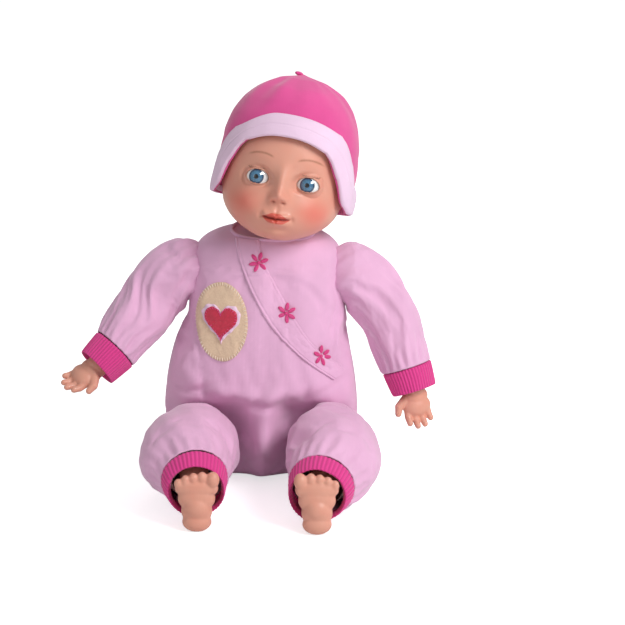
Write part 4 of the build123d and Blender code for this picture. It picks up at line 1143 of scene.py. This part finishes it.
cream_finish = Finish("cream_thread", roughness=0.6, sheen=0.3)
cream_finish.bump(cream_finish.noise(1500), 0.05)
cream = cream_finish.paint(base_color=cream_finish.mix(
    cream_finish.noise(300), solid(0.80, 0.66, 0.52), solid(0.92, 0.82, 0.70)))
oval_stitches = stitched_round("oval_stitches", oval, 64, 0.955, 1.3, 1.6, cream)
heart_stitches = stitched_round("heart_stitches", heart, 44, 0.90, 2.75, 1.1, thread)
for piece, slot, nodes in (
        (wrap, "romper_jersey", ["wrap_placket"]), (flowers, "magenta_thread", ["embroidered_flowers"]),
        (oval_patch, "tan_felt", ["motif_felt"]), (heart_patch, "red_satin", ["motif_heart"]),
        (ruffle_patch, "romper_jersey", []), (oval_stitches, "tan_felt", []),
        (heart_stitches, "magenta_thread", [])):
    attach(piece, "torso")
    if nodes:
        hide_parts(*nodes)
print("sewn pieces made")

# %% [markdown]
# ## The pieces inside
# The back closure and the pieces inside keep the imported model's shape. They get a finish that suits
# what they are made of: cloth, moulded plastic or metal, from one small function each.


# %% Finishes for what the model already holds
def moulded(name, colour, roughness):
    finish = Finish(name, roughness=roughness)
    grain = finish.noise(900, 2)
    finish.bump(grain, 0.03)
    dark = tuple(0.86 * part for part in colour[:3])
    return finish.paint(base_color=finish.mix(finish.noise(70, 2), (*dark, 1), colour),
                        roughness=grain * 0.12 + roughness)


def metal(name, colour, roughness):
    finish = Finish(name, metallic=1.0)
    brushed = finish.noise(1400, 1)
    finish.bump(brushed, 0.01)
    return finish.paint(base_color=finish.mix(finish.noise(120), colour, solid(0.5, 0.5, 0.52)),
                        roughness=brushed * 0.2 + roughness)


def linear(channel):
    return channel / 12.92 if channel < 0.04 else ((channel + 0.055) / 1.055) ** 2.4


slots = {entry["slot"]: entry for entry in frame["record"]["materials"]}
slot_of_node = {entry["node"]: entry["material_slot"] for entry in frame["record"]["subparts"]}
made = {"romper_jersey": romper_jersey}
for node, piece in frame["nodes"].items():
    name = slot_of_node[node]
    if name not in made:
        colour = (*[linear(channel) for channel in slots[name]["base_color"][:3]], 1)
        kind = slots[name]["class"]
        if kind == "fabric":
            made[name] = woven(f"{name}_cloth", colour)
        elif kind in ("brushed_steel", "chrome"):
            made[name] = metal(f"{name}_metal", colour, 0.25)
        else:
            made[name] = moulded(f"{name}_plastic", colour, 0.3 if kind == "gloss_plastic" else 0.5)
    for number in range(len(piece.material_slots)):
        piece.material_slots[number].material = made[name]
    if not piece.material_slots:
        piece.data.materials.append(made[name])
print("finishes for the model's own pieces:", sorted(made))

# %% [markdown]
# ## The set
# A plain pale floor runs back to the horizon. A large soft lamp stands to the right, a weaker one
# fills from the left, and the world adds an even light.

# %% Floor and lights
floor_shape = bmesh.new()
bmesh.ops.create_circle(floor_shape, cap_ends=True, segments=64, radius=40)
floor = to_object(floor_shape, "floor", smooth=False)
floor_finish = Finish("pale_floor", roughness=0.7)
floor_finish.shader.inputs["Emission Strength"].default_value = 0.65
seen = floor_finish.node("ShaderNodeLightPath", out="Is Camera Ray")
floor.data.materials.append(floor_finish.paint(
    base_color=floor_finish.mix(floor_finish.noise(3.0), solid(0.86, 0.86, 0.86), solid(0.88, 0.88, 0.88)),
    emission_color=floor_finish.mix(seen, solid(0, 0, 0), solid(1, 1, 1))))


def lamp(name, place, power, size):
    light = bpy.data.lights.new(name, "AREA")
    light.energy, light.size = power, size
    holder = bpy.data.objects.new(name, light)
    holder.location = place
    holder.rotation_euler = (Vector((0.02, 0, 0.15)) - Vector(place)).to_track_quat("-Z", "Y").to_euler()
    bpy.context.collection.objects.link(holder)


lamp("key_lamp", (1.25, -1.1, 1.4), 30, 0.8)
lamp("fill_lamp", (-1.5, -1.5, 0.9), 3.6, 1.2)
lamp("back_lamp", (0.3, 1.2, 1.6), 7, 1.0)
world = bpy.data.worlds.new("studio")
world.use_nodes = True
world.node_tree.nodes["Background"].inputs["Color"].default_value = solid(1.0, 0.99, 0.985)
world.node_tree.nodes["Background"].inputs["Strength"].default_value = 0.385
bpy.context.scene.world = world
bpy.context.scene.view_settings.view_transform = "Standard"
